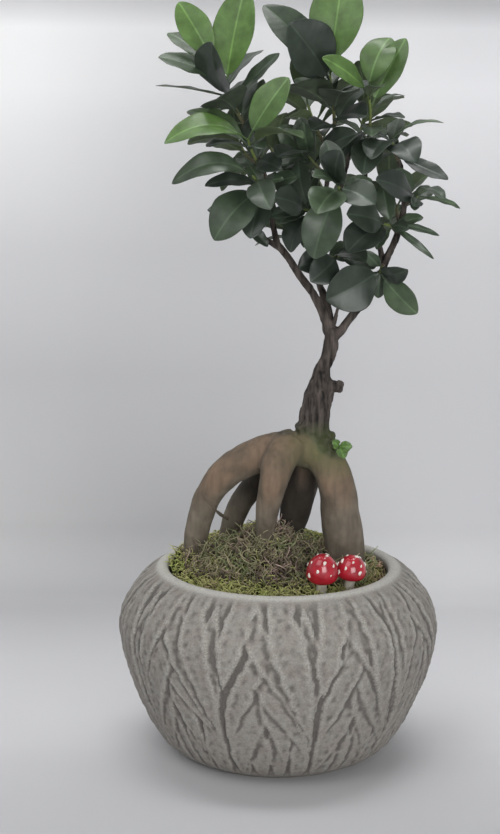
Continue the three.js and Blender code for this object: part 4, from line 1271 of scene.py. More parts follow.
SPRAYS = (
    Spray(
        "spray_top_left",
        ((-19, 6, 425), (-25, 4, 441), (-34, 2, 457), (-41, 0, 472), (-45, 0, 481)),
        (
            (1, -70, 8, 523, 22, 0.06, 1.2, NEW), (0.7, -25, 8, 533, 30, 0.05, 1.4, NEW),
            (0.96, -78, 22, 502, 14, 0.08, 0.6, SOFT), (0.84, -83, -8, 487, 20, 0.05, 0.8, GROWN),
            (0.58, -47, -26, 498, 34, 0.08, 0.8, OLD), (0.38, -44, -37, 461, 34, 0.1, 0, OLD),
            (0.6, -85, -3, 468, 8, 0.04, 0, GROWN), (0.52, -2, -4, 490, 15, 0.02, 0.6, GROWN),
        ),
        4, 46,
    ),
    Spray(
        "spray_left_arch",
        ((-10, 2, 405), (-16, -14, 417), (-21, -22, 428), (-23, -25, 435)),
        (
            (0.95, -78, -36, 432, 25, 0.24, 0.5, NEW), (0.78, -64, -2, 451, 18, 0.12, 0, SOFT),
            (0.97, 4, -26, 475, 24, 0.05, 1.2, FRESH), (0.77, -50, -47, 431, 18, 0.1, 0, OLD),
            (0.86, 13, -50, 437, 30, 0.14, -0.7, SOFT), (0.5, -1, -37, 415, 18, 0.1, 0.6, OLD),
        ),
        2, 40,
    ),
    Spray(
        "spray_left_long",
        ((-9, 0, 391), (-12, -16, 400), (-16, -26, 406), (-20, -32, 411)),
        (
            (0.89, -73, -39, 406, 19, 0.33, 0.3, GROWN), (0.5, -51, -45, 405, 14, 0.12, 0, OLD),
            (0.39, -45, -36, 368, 30, 0.16, 0.3, GROWN), (0.19, -21, -41, 370, 22, 0.12, 0, OLD),
            (0.82, -8, -66, 392, 20, 0.12, 0, GROWN),
        ),
        3, 40,
    ),
    Spray(
        "spray_left_low",
        ((-17, -12, 370), (-25, -16, 376), (-32, -18, 383)),
        ((0.4, -9, -20, 362, 9, 0.1, 0, OLD),),
        5, 22,
    ),
    Spray(
        "spray_top_centre",
        ((35, 18, 424), (36, 14, 442), (34, 8, 461), (32, 4, 476)),
        (
            (0.92, -13, 12, 521, 28, 0.1, 0.9, GROWN), (0.87, 4, -14, 510, 39, 0.06, 1.6, OLD),
            (1, 41, 14, 542, 37, 0.05, 0.6, NEW), (0.5, 4, -24, 470, 34, 0.08, -0.8, OLD),
            (0.45, 40, -32, 466, 28, 0.1, -0.8, OLD),
            (0.3, 56, -20, 449, 24, 0.1, 0.8, OLD), (0.2, 20, -24, 440, 20, 0.1, 0.6, OLD),
        ),
        5, 46,
    ),
    Spray(
        "spray_top_right",
        ((57, 12, 414), (59, 8, 432), (60, 4, 451), (58, 2, 464)),
        (
            (0.76, 83, 4, 500, 21, 0.04, 1.4, FRESH), (0.62, 84, 20, 461, 5, 0.2, 0, GROWN),
            (0.57, 82, -12, 448, 12, 0.08, 0, OLD), (1, 26, -20, 488, 16, 0.06, 1.6, NEW),
            (1, 73, 15, 500, 24, 0.22, 0.9, FRESH), (0.43, 36, -13, 416, 14, 0.12, 0, OLD),
            (0.35, 54, -24, 411, 22, 0.1, 0.7, OLD),
        ),
        4, 42,
    ),
    Spray(
        "spray_right",
        ((81, 4, 415), (77, 0, 424), (74, -4, 433)),
        (
            (0.59, 88, -34, 420, 24, 0.2, 0, OLD), (0.83, 59, -33, 422, 22, 0.16, 0, OLD),
            (1, 108, -14, 445, 5, 0.16, 0, GROWN), (0.58, 99, 8, 412, 13, 0.1, 0, OLD),
            (0.12, 112, -12, 407, 14, 0.02, 0.3, OLD),
        ),
        3, 30,
    ),
    Spray(
        "spray_right_arch",
        ((84, 4, 388), (88, -4, 392), (92, -10, 395)),
        (
            (0.74, 108, -32, 395, 14, 0.24, 0, GROWN), (0.87, 122, 2, 386, 5, 0.1, 0, GROWN),
            (0.64, 62, -36, 409, 22, 0.1, 0.4, OLD),
        ),
        2, 34,
    ),
    Spray(
        "spray_right_mid",
        ((80, 6, 369), (74, -6, 375), (68, -14, 377)),
        (
            (0.5, 107, -12, 369, 5, 0.16, 0, GROWN), (0.46, 103, -19, 354, 5, 0.2, 0, GROWN),
            (0.9, 43, -36, 386, 24, 0.1, 0.3, OLD), (0.7, 44, -34, 360, 28, 0.12, 0.3, OLD),
        ),
        2, 34,
    ),
    Spray(
        "spray_right_low",
        ((71, 9, 348), (69, 0, 345), (68, -4, 342)),
        (
            # The second leaf's SOFT tone stands for a painted sheen, which makes it paler than its age.
            (0.79, 85, -28, 348, 16, 0.14, 0, OLD), (1, 93, -14, 316, 20, 0.06, 0.6, SOFT),
            (0.6, 31, -14, 325, 33, 0.1, 0.5, OLD),
        ),
        1, 34,
    ),
    Spray(
        "spray_front_centre",
        ((37, -28, 396), (38, -38, 401), (37, -46, 406)),
        (
            (0.6, 21, -50, 358, 27, 0.14, 0.4, GROWN), (0.52, 22, -72, 390, 26, 0.12, 0, GROWN),
            (0.86, 19, -70, 414, 14, 0.1, 0, GROWN), (0.68, 60, -62, 395, 24, 0.12, 0, OLD),
            (1, 37, -68, 431, 24, 0.1, 0, OLD),
        ),
        3, 38,
    ),
    Spray(
        "spray_front_left",
        ((32, -8, 380), (22, -20, 385), (14, -30, 389)),
        ((0.9, -6, -46, 398, 22, 0.1, 0.3, OLD), (0.6, 6, -34, 360, 22, 0.12, 0, OLD)),
        4, 38,
    ),
    Spray(
        "spray_middle_low",
        ((26, 24, 346), (33, 12, 350), (40, 2, 353)),
        (
            (0.9, 20, -18, 338, 22, 0.12, 0.3, OLD), (0.7, 57, -22, 352, 20, 0.12, 0.3, OLD),
            (0.5, 12, 0, 345, 18, 0.1, 0, OLD),
        ),
        2, 36,
    ),
    Spray(
        "spray_centre",
        ((32, 24, 404), (24, 8, 414), (18, -6, 422)),
        ((1, -3, -41, 424, 22, 0.1, 0, OLD), (0.6, 50, -22, 438, 22, 0.1, 0, OLD)),
        4, 42,
    ),
    Spray("spray_back_left", ((3, 40, 409), (-5, 50, 419), (-12, 58, 431)), (), 7, 40, tone=0.4),
    Spray("spray_back_centre", ((38, 45, 383), (32, 60, 390), (26, 72, 400)), (), 6, 44),
    Spray("spray_back_right", ((49, 60, 421), (56, 67, 432), (59, 72, 444)), (), 7, 41, tone=0.45),
    Spray("spray_back_top", ((34, 20, 420), (24, 36, 438), (18, 46, 454)), (), 7, 48, tone=0.5),
    Spray("spray_inner", ((26, 26, 356), (13, 30, 362), (2, 34, 370)), (), 6, 38, tone=0.1),
    Spray("spray_right_back", ((81, 5, 374), (80, 20, 383), (77, 32, 393)), (), 6, 36),
    Spray("spray_left_back", ((-13, 4, 412), (-24, 19, 420), (-31, 32, 431)), (), 6, 36),
)
SPROUT = Spray(
    "sprout",
    ((34, -1, 219), (39, -11, 222), (41, -17, 223)),
    (
        (0.6, 50, -19, 224, 8, 0.1, 0.6, NEW),
        (1, 44, -26, 217, 8, 0.1, 0.6, NEW),
        (0.85, 36, -24, 229, 7, 0.1, 0.6, NEW),
    ),
    shoot=10.0,
)


@dataclass
class Leaf:
    """A leaf: where it leaves the twig, its tip, its sizes, and where its upper face looks to."""

    base: Array
    tip: Array
    width: float
    arch: float
    up: Array
    tone: float


@dataclass
class Crown:
    """All leafy twigs. The chosen leaves come first, and then those that each twig grows into free space.

    large and small say how long the grown leaves are, as a share of the twig's own length of leaf, how many
    millimetres they keep free, and how many places are tried. opening holds the degrees between twig and
    leaf, then what each next leaf and each next try adds. shorter holds what they take off the length.
    """

    clearance: float = 0.3
    shoot_radius: float = 1.6
    petiole_share: float = 0.14
    petiole_radius: float = 0.7
    fold: float = 0.22
    skyward: float = 0.3
    large: tuple[float, float, int] = (1.0, 4.6, 60)
    small: tuple[float, float, int] = (0.66, 2.6, 16)
    small_count: int = 4
    opening: tuple[float, float, float] = (38, 9, 14)
    shorter: tuple[float, float] = (0.07, 0.008)
    grown_width: float = 0.48
    grown_arch: float = 0.1
    wood_spacing: float = 4.0
    wood_margin: float = 2.0
    sample_u: tuple[float, ...] = (0.26, 0.38, 0.5, 0.62, 0.74, 0.86, 1)
    sample_v: tuple[float, ...] = (-0.9, -0.45, 0, 0.45, 0.9)
    leafy_share: float = 0.86
    swing_turn: float = 2.1
    thickness: float = 0.8
    blade_rows: int = 20
    twig_rows: int = 24
    seed: int = 17

    def shoot_end(self, spray: Spray) -> tuple[Array, Array]:
        """Where the tree's shoot for a twig ends.

        Args:
            spray: The twig.

        Returns:
            The end, and the direction that the shoot points in.
        """
        start, following = (np.array(point, float) for point in spray.twig[:2])
        way = unit(following - start)
        return start + way * spray.shoot, way

    def shoot(self, spray: Spray) -> Limb:
        """The tree's short shoot that carries a twig.

        Args:
            spray: The twig.

        Returns:
            A limb of even thickness.
        """
        end, _ = self.shoot_end(spray)
        middle = (np.array(spray.twig[0]) + end) / 2
        return Limb((spray.twig[0], tuple(middle), tuple(end)), (self.shoot_radius,) * 2)

    def twig_curve(self, spray: Spray) -> Route:
        """The twig's middle line, which starts just past the shoot."""
        end, way = self.shoot_end(spray)
        return Route([end + way * self.clearance, *spray.twig[1:]])

    def leaf_on(
        self, curve: Route, place: float, tip: Array, sizes: tuple[float, float, float], tone: float
    ) -> Leaf:
        """A leaf on a twig.

        Args:
            curve: The twig's middle line.
            place: Share of its length where the leaf grows.
            tip: The leaf's tip.
            sizes: Its width, its arch, and how far it turns to the front.
            tone: How new it is.

        Returns:
            The leaf.
        """
        width, arch, turn = sizes
        up = unit(curve.direction(place)[0] + np.array([0.0, -turn, self.skyward]))
        return Leaf(curve.spaced(place)[0], np.asarray(tip, float), width, arch, up, tone)

    def grown_leaf(self, spray: Spray, curve: Route, index: int, swing: int, size: float) -> Leaf:
        """A leaf that a twig grows by rule: spread down the twig, and turned about it by the golden angle.

        Args:
            spray: The twig.
            curve: Its middle line.
            index: Number of the leaf on this twig.
            swing: How many tries came before, each of which turns it further and makes it shorter.
            size: Its length as a share of the twig's own length of leaf.

        Returns:
            The leaf.
        """
        place = 1 - (self.leafy_share * (index + 0.5)) / max(spray.grown, index + 1)
        way = curve.direction(place)[0]
        side = unit(np.array([0.0, 0.0, 1.0]) - way * way[2])
        other = np.cross(way, side)
        angle = index * GOLDEN_ANGLE + swing * self.swing_turn
        least, by_leaf, by_try = self.opening
        opening = math.radians(least + by_leaf * (index % 4) + by_try * (swing % 3))
        taken_off = self.shorter[0] * (index % 3)
        length = size * spray.length * (1 - taken_off - self.shorter[1] * swing)
        outward = side * math.cos(angle) + other * math.sin(angle)
        tip = curve.spaced(place)[0] + length * (way * math.cos(opening) + outward * math.sin(opening))
        tone = spray.tone * (0.55 + 0.15 * (index % 4))
        return self.leaf_on(curve, place, tip, (length * self.grown_width, self.grown_arch, 0.0), tone)

    @staticmethod
    def blade_shape(share: Array) -> Array:
        """Half width of a blade, as a share of its widest: a bent half sine from its stalk to its tip."""
        return np.sin(math.pi * np.clip(share, 0, 1) ** 1.05) ** 0.6

    @staticmethod
    def leaf_frame(leaf: Leaf) -> tuple[float, Array, Array, Array]:
        """The frame that a leaf is drawn in.

        Args:
            leaf: The leaf.

        Returns:
            Its length, and unit directions along it, out of its upper face and across it.
        """
        along = leaf.tip - leaf.base
        length = float(np.linalg.norm(along))
        along = along / length
        face = unit(leaf.up - along * (leaf.up @ along))
        return length, along, face, np.cross(along, face)

    def samples(self, leaf: Leaf) -> Array:
        """Points spread over a leaf, to keep other leaves off it.

        The leaf arches by a parabola along its length, and folds up to both sides of its midrib.

        Args:
            leaf: The leaf.

        Returns:
            Points as (n, 3).
        """
        length, along, face, across = self.leaf_frame(leaf)
        u, v = (part.ravel() for part in np.meshgrid(self.sample_u, self.sample_v, indexing="ij"))
        half = leaf.width / 2 * self.blade_shape((u - self.petiole_share) / (1 - self.petiole_share))
        rise = leaf.arch * length * 4 * u * (1 - u) + self.fold * half * np.abs(v)
        return leaf.base + np.outer(length * u, along) + np.outer(half * v, across) + np.outer(rise, face)

    def placed(self, sprays: tuple[Spray, ...]) -> list[tuple[Spray, Route, list[Leaf]]]:
        """Places all leaves: the chosen ones, then the large and the small ones that are grown by rule.

        A grown leaf stays where it is if its points keep clear of the wood and of every leaf before it.

        Args:
            sprays: The twigs.

        Returns:
            Each twig with its curve and its leaves.
        """
        crowns = []
        for spray in sprays:
            curve = self.twig_curve(spray)
            leaves = [self.leaf_on(curve, row[0], row[1:4], row[4:7], row[7]) for row in spray.leaves]
            crowns.append((spray, curve, leaves))
        points, radii = self.wood_points()
        for _, curve, _ in crowns:
            points.append(curve.spaced(np.linspace(0, 1, 9)))
            radii.append(np.full(9, -1.0))
        for leaf in (leaf for _, _, leaves in crowns for leaf in leaves):
            points.append(self.samples(leaf))
            radii.append(np.zeros(len(points[-1])))
        taken, space = np.concatenate(points), np.concatenate(radii)
        turns = [(crown, index, self.large) for crown in crowns for index in range(crown[0].grown)]
        leafy = [crown for crown in crowns if crown[0].length]
        turns += [(crown, index, self.small) for crown in leafy for index in range(self.small_count)]
        for (spray, curve, leaves), index, (size, gap, tries) in turns:
            for swing in range(tries):
                leaf = self.grown_leaf(spray, curve, index, swing, size)
                spots = self.samples(leaf)
                gaps = np.sum((spots[:, None] - taken[None]) ** 2, axis=2)
                if np.all(gaps > (gap + space) ** 2):
                    leaves.append(leaf)
                    taken = np.concatenate([taken, spots])
                    space = np.concatenate([space, np.zeros(len(spots))])
                    break
        return crowns

    def wood_points(self) -> tuple[list[Array], list[Array]]:
        """Points down the middle of the wood.

        Returns:
            The points, and for each its radius less the space that a leaf keeps already.
        """
        points, radii = [], []
        for limb in (*BRANCHES.values(), TRUNK):
            curve = limb.curve()
            count = math.floor(curve.length / self.wood_spacing + 0.5)
            points.append(curve.spaced(np.linspace(0, 1, count + 1)))
            radii.append(np.full(count + 1, limb.radii[-1] - self.wood_margin))
        return points, radii

    def leaf_shapes(self, leaves: list[Leaf], rng: np.random.Generator) -> Shape:
        """All leaves of a twig as closed blades on stalks.

        Each ring runs over the upper face from edge to edge and back under the lower one. The blade is a
        shallow V that arches by a parabola along its length, with a margin waved by a sine, a slight twist
        and a midrib that stands out below as a bell curve.

        Args:
            leaves: The leaves.
            rng: Source of the small differences between them.

        Returns:
            The leaves as one shape, with marks for tone, face, and millimetres across and along.
        """
        share = 0.5 - 0.5 * np.cos(np.linspace(0.0, math.pi, self.blade_rows))
        blade_u = self.petiole_share + (1 - self.petiole_share) * share
        u = np.concatenate([[0.0, 0.05, 0.1], blade_u])[None, :, None]
        top = np.array([-1, -0.96, -0.82, -0.58, -0.32, -0.1, 0, 0.1, 0.32, 0.58, 0.82, 0.96, 1])
        v = np.concatenate([top, top[-2:0:-1]])[None, None, :]
        upper = np.concatenate([np.ones(len(top)), np.zeros(len(top) - 2)])[None, None, :]
        frames = [self.leaf_frame(leaf) for leaf in leaves]
        length, along, face, across = (
            np.array([frame[k] for frame in frames])[:, None, None] for k in range(4)
        )
        base, width, arch, tone = (
            np.array([getattr(leaf, name) for leaf in leaves])[:, None, None]
            for name in ("base", "width", "arch", "tone")
        )
        random = rng.uniform(-1, 1, (5, len(leaves), 1, 1))
        s = (u - self.petiole_share) / (1 - self.petiole_share)
        blade = width / 2 * self.blade_shape(s)
        stalk = self.petiole_radius * (1 - 0.75 * smooth(s, 0.2, 1.0))
        half = np.hypot(blade, stalk)
        flat = smooth(blade, 0.3, 2.5)
        lens = np.sqrt(np.maximum(1 - v**2, 0))
        thick = stalk * (1 - flat) + flat * (self.thickness / 2 + 0 * s)
        side = np.where(upper > 0.5, 1.0, -1.0)
        rib = np.exp(-((v * half / 0.8) ** 2)) * (1 - smooth(s, 0.1, 1.05)) * flat
        lift = side * thick * lens - rib * np.where(upper > 0.5, 0.18, 0.55)
        edge = np.abs(v)
        crease = np.sqrt(v**2 + 0.008) - 0.09
        wave = (0.45 * np.sin(2 * math.pi * (2.6 * s + random[0]) + v) + 0.25 * random[1]) * edge**2 * flat
        curl = -0.06 * random[2] * half * edge**3 * flat
        rise = arch * length * 4 * u * (1 - u) + self.fold * blade * crease + wave + curl + lift
        twist = 0.12 * random[3] * smooth(s, 0, 1)
        sway = 0.012 * random[4] * length * np.sin(math.pi * u)
        spread = half * v
        points = (
            base
            + (length * u)[..., None] * along
            + (spread * np.cos(twist) + sway)[..., None] * across
            + (rise + spread * np.sin(twist))[..., None] * face
        )
        dull_foot = 0.12 * (1 - smooth(s, 0, 0.25)) * (tone > 0.5)
        marks = {
            "across": spread * flat + 3.0 * (1 - flat),
            "along": length * u + 0 * v,
            "face": upper + 0 * u + 0 * length,
            "tone": np.clip(tone + 0.12 * random[1] - dull_foot, 0, 1) + 0 * v,
        }
        return skins(points[:, :, ::-1], {name: values[:, :, ::-1] for name, values in marks.items()})

    def twig_shape(self, curve: Route) -> Shape:
        """The twig as a tapered tube, sunk a little in the shoot that carries it.

        The radius falls evenly, with a high power of a sine for the ring at each leaf scar.

        Args:
            curve: The twig's middle line.

        Returns:
            The twig, with a mark for the share of its length.
        """
        share = np.linspace(0, 1, self.twig_rows)
        centres = curve.spaced(share)
        centres[0] -= curve.direction(0.0)[0] * 1.2
        radius = 1.4 - 0.6 * share + 0.12 * np.sin(share * curve.length / 1.6) ** 8
        radius[-1] = 0.35
        return tubes(centres[None], radius[None], 10, {"reach": share[None, :, None]}, finish=1)

    def dress(self) -> None:
        """Makes a piece for each twig with its leaves."""
        finishes = [FigLeaf().material(), GreenTwig().material()]
        rng = np.random.default_rng(self.seed)
        for spray, curve, leaves in self.placed((*SPRAYS, SPROUT)):
            shape = joined([self.leaf_shapes(leaves, rng), self.twig_shape(curve)])
            place_piece(spray.name + "_leaves", shape, finishes, (spray.name,))


# ------------------------------------------------------------------ moss


@dataclass
class MossBed:
    """The moss mat: a mounded ground, thick with curly olive strands, and dry brown ones among the roots.

    Each mound is (height, middle across, middle in depth, spread), for a bell curve. The strands are drawn
    thicker than real ones, so that they show.
    """

    level: float = 126.0
    underside: float = 118.2
    edge_radius: float = 76.2
    overhang: float = 2.6
    around: int = 160
    mounds: tuple[tuple[float, ...], ...] = (
        (22, -5, 40, 34), (9, 52, 14, 22), (5, -58, 20, 20), (20, -8, -4, 13),
    )
    sunk: float = 0.8
    rim_drop: float = 2.2
    crumbs: float = 0.9
    patch_mm: float = 12.0
    tuft_mm: float = 5.0
    green_count: int = 5500
    dry_count: int = 2300
    seed: int = 23

    def height(self, x: Array, y: Array) -> Array:
        """Height of the mat: bell-shaped mounds, a tilt by smooth steps, and cushions by products of sines.

        Args:
            x: Places across.
            y: Places in depth.

        Returns:
            The height at each place.
        """
        mounds = sum(
            h * np.exp(-((x - cx) ** 2 + (y - cy) ** 2) / (2 * s**2)) for h, cx, cy, s in self.mounds
        )
        tilt = 4 * smooth(-x, 0, 75) - 5.5 * smooth(x, 20, 75) + 4 * smooth(y, 0, 75)
        broad = 1.1 * np.sin(0.21 * x + 1.3) * np.sin(0.19 * y) + 0.7 * np.sin(0.43 * x - 0.37 * y)
        return self.level + mounds + tilt + broad

    def ground(self) -> Shape:
        """The mat's own surface, from its flat underside round its edge to its middle.

        Returns:
            The closed shape.
        """
        angle = circle(self.around)
        reach = self.edge_radius * np.concatenate([np.linspace(1, 0.94, 4), np.linspace(0.91, 0.02, 44)])
        x, y = reach[:, None] * np.cos(angle), reach[:, None] * np.sin(angle)
        top = self.height(x, y)
        rim = smooth(reach[:, None], self.edge_radius * 0.93, self.edge_radius)
        crumbs = self.crumbs * rough(np.stack([x, y, top], axis=-1), 6.0, 3, self.seed)
        top = top - self.rim_drop * rim + crumbs - self.sunk
        foot = self.edge_radius + self.overhang
        under = np.stack(
            [foot * np.cos(angle), foot * np.sin(angle), np.full(self.around, self.underside)], axis=-1
        )
        return skins(np.concatenate([under[None], np.stack([x, y, top], axis=-1)])[None])

    def clear_of_wood(self, x: Array, y: Array) -> Array:
        """Finds the places where no root comes up through the mat.

        Args:
            x: Places across.
            y: Places in depth.

        Returns:
            True for each place that is clear.
        """
        free = np.ones(len(x), bool)
        ground = self.height(x, y)
        for root in ROOTS.values():
            share = np.linspace(0.5, 1, 60)
            centres = root.curve().spaced(share)
            radius = root.radius_at(share)
            nearest = np.argmin(np.abs(centres[:, 2][None] - ground[:, None]), axis=1)
            away = np.hypot(x - centres[nearest, 0], y - centres[nearest, 1])
            free &= away > radius[nearest] - 0.8
        return free

    def strands(
        self, x: Array, y: Array, length: Array, lean: Array, curl: Array, radius: Array, tone: Array,
        rows: int,
    ) -> Shape:
        """Three-sided tapered strands that stand on the mat.

        Each sets out towards a random side, leans over more and more, and turns about the upright as it goes.
        None passes the bowl's edge, but those that stand high on the left may.

        Args:
            x: Feet of the strands across.
            y: Feet of the strands in depth.
            length: How long each is.
            lean: Angle of each from upright at its foot, in radians.
            curl: How far each turns sideways over its length, in radians.
            radius: Thickness of each at its foot.
            tone: Colour mark of each.
            rows: Rings along each.

        Returns:
            All the strands.
        """
        rng = np.random.default_rng(self.seed + rows)
        count = len(x)
        t = np.linspace(0, 1, rows)[None]
        start, handed = rng.uniform(0, 2 * math.pi, (count, 1)), rng.choice([-1.0, 1.0], (count, 1))
        way = start + handed * curl[:, None] * t
        tilt = lean[:, None] + rng.uniform(0.3, 1.3, (count, 1)) * t
        step = length[:, None] / (rows - 1)
        px = x[:, None] + np.cumsum(np.sin(tilt) * np.cos(way) * step, axis=1)
        py = y[:, None] + np.cumsum(np.sin(tilt) * np.sin(way) * step, axis=1)
        rise = np.cumsum(np.cos(tilt) * step, axis=1)
        hop = 0.12 * curl[:, None] * np.sin(math.pi * t) * rng.uniform(0, 1, (count, 1))
        pz = np.maximum(self.height(x, y)[:, None] - 1.2 + rise, self.height(px, py) - 0.3) + hop
        held = np.minimum(1.0, (self.edge_radius - 0.4) / np.maximum(np.hypot(px, py), 1e-6))
        keep = np.where((px < -35) & (pz > 135.5), 1.0, held)
        centres = np.stack([px * keep, py * keep, pz], axis=-1)
        values = {"tone": tone[:, None, None], "reach": t[:, :, None]}
        marks = {name: np.broadcast_to(value, (count, rows, 1)) for name, value in values.items()}
        return tubes(centres, radius[:, None] * (1 - 0.6 * t), 3, marks)

    def scattered(self, count: int, rng: np.random.Generator, dense_edge: float) -> tuple[Array, Array]:
        """Random feet over the mat, clear of the wood.

        Args:
            count: How many.
            rng: Source of the random values.
            dense_edge: Power for their distance from the middle. 0.5 spreads them evenly, less to the edge.

        Returns:
            Their places across and in depth.
        """
        radius = (self.edge_radius - 1.0) * rng.uniform(0, 1, count * 2) ** dense_edge
        angle = rng.uniform(0, 2 * math.pi, count * 2)
        x, y = radius * np.cos(angle), radius * np.sin(angle)
        free = self.clear_of_wood(x, y)
        return x[free][:count], y[free][:count]

    def green(self) -> Shape:
        """Curly olive strands in tufts, drier on the right, and shorter and flatter at the back.

        Returns:
            The strands.
        """
        rng = np.random.default_rng(self.seed)
        x, y = self.scattered(self.green_count, rng, 0.46)
        count = len(x)
        place = np.stack([x, y, 0 * x], axis=-1)
        patch, tuft = noise(place, self.patch_mm, 41), noise(place, self.tuft_mm, 43)
        back = smooth(y, 10, 40)
        length = 6.4 + 3.0 * tuft + 1.8 * rng.uniform(-1, 1, count) - 1.5 * back
        tone = 0.35 + 0.4 * patch + 0.25 * rng.uniform(-1, 1, count) + 0.3 * smooth(x, 30, 75)
        lean = rng.uniform(0.25, 1.2, count) * (1 - back) + back * rng.uniform(1.0, 1.5, count)
        radius = rng.uniform(0.4, 0.72, count)
        curl = rng.uniform(1.0, 4.0, count)
        return self.strands(x, y, length, lean, curl, radius, np.clip(tone, 0, 1), 6)

    def dry(self) -> Shape:
        """Long dry strands, curled and brown or grey green, heaped among the roots by a bell curve.

        Returns:
            The strands.
        """
        rng = np.random.default_rng(self.seed + 1)
        x = rng.normal(0, 32, self.dry_count * 3)
        y = rng.normal(0, 22, self.dry_count * 3)
        heaped = (np.hypot(x, y) < self.edge_radius - 8) & (y > -46 + 0.25 * np.abs(x))
        inside = heaped & self.clear_of_wood(x, y)
        x, y = x[inside][: self.dry_count], y[inside][: self.dry_count]
        count = len(x)
        patch = noise(np.stack([x, y, 0 * x], axis=-1), self.patch_mm, 51)
        tone = 0.5 + 0.5 * patch + 0.35 * rng.uniform(-1, 1, count)
        back = smooth(y, 8, 30)
        length = rng.uniform(8, 20, count) * (1 - 0.3 * back)
        lean = rng.uniform(0.1, 0.9, count) * (1 - back) + back * rng.uniform(1.2, 1.5, count)
        curl = rng.uniform(2.5, 7.5, count)
        radius = rng.uniform(0.4, 0.75, count)
        return self.strands(x, y, length, lean, curl, radius, np.clip(tone, 0, 1), 10)

    def dress(self, soil: bpy.types.Object) -> None:
        """Makes the mat and its strands, and gives the packed soil its finish.

        Args:
            soil: The packed soil.
        """
        ground = MossFibre("moss_ground", ("3c3c26", "35331f", "332a20", "2a231c"))
        green = MossFibre("green_moss", ("b3bc70", "ccc88d", "91955f", "d2b49a"), 0.2)
        dry = MossFibre("dry_moss", ("869169", "b0a688", "6b5f57", "b9a397"), 0.1)
        place_piece("moss_mat", self.ground(), [ground.material()], ("moss",))
        place_piece("moss_green", self.green(), [green.material()])
        place_piece("moss_dry", self.dry(), [dry.material()])
        soil.data.materials.clear()
        soil.data.materials.append(PottingMix().material())


# ------------------------------------------------------------------ toadstool ornaments


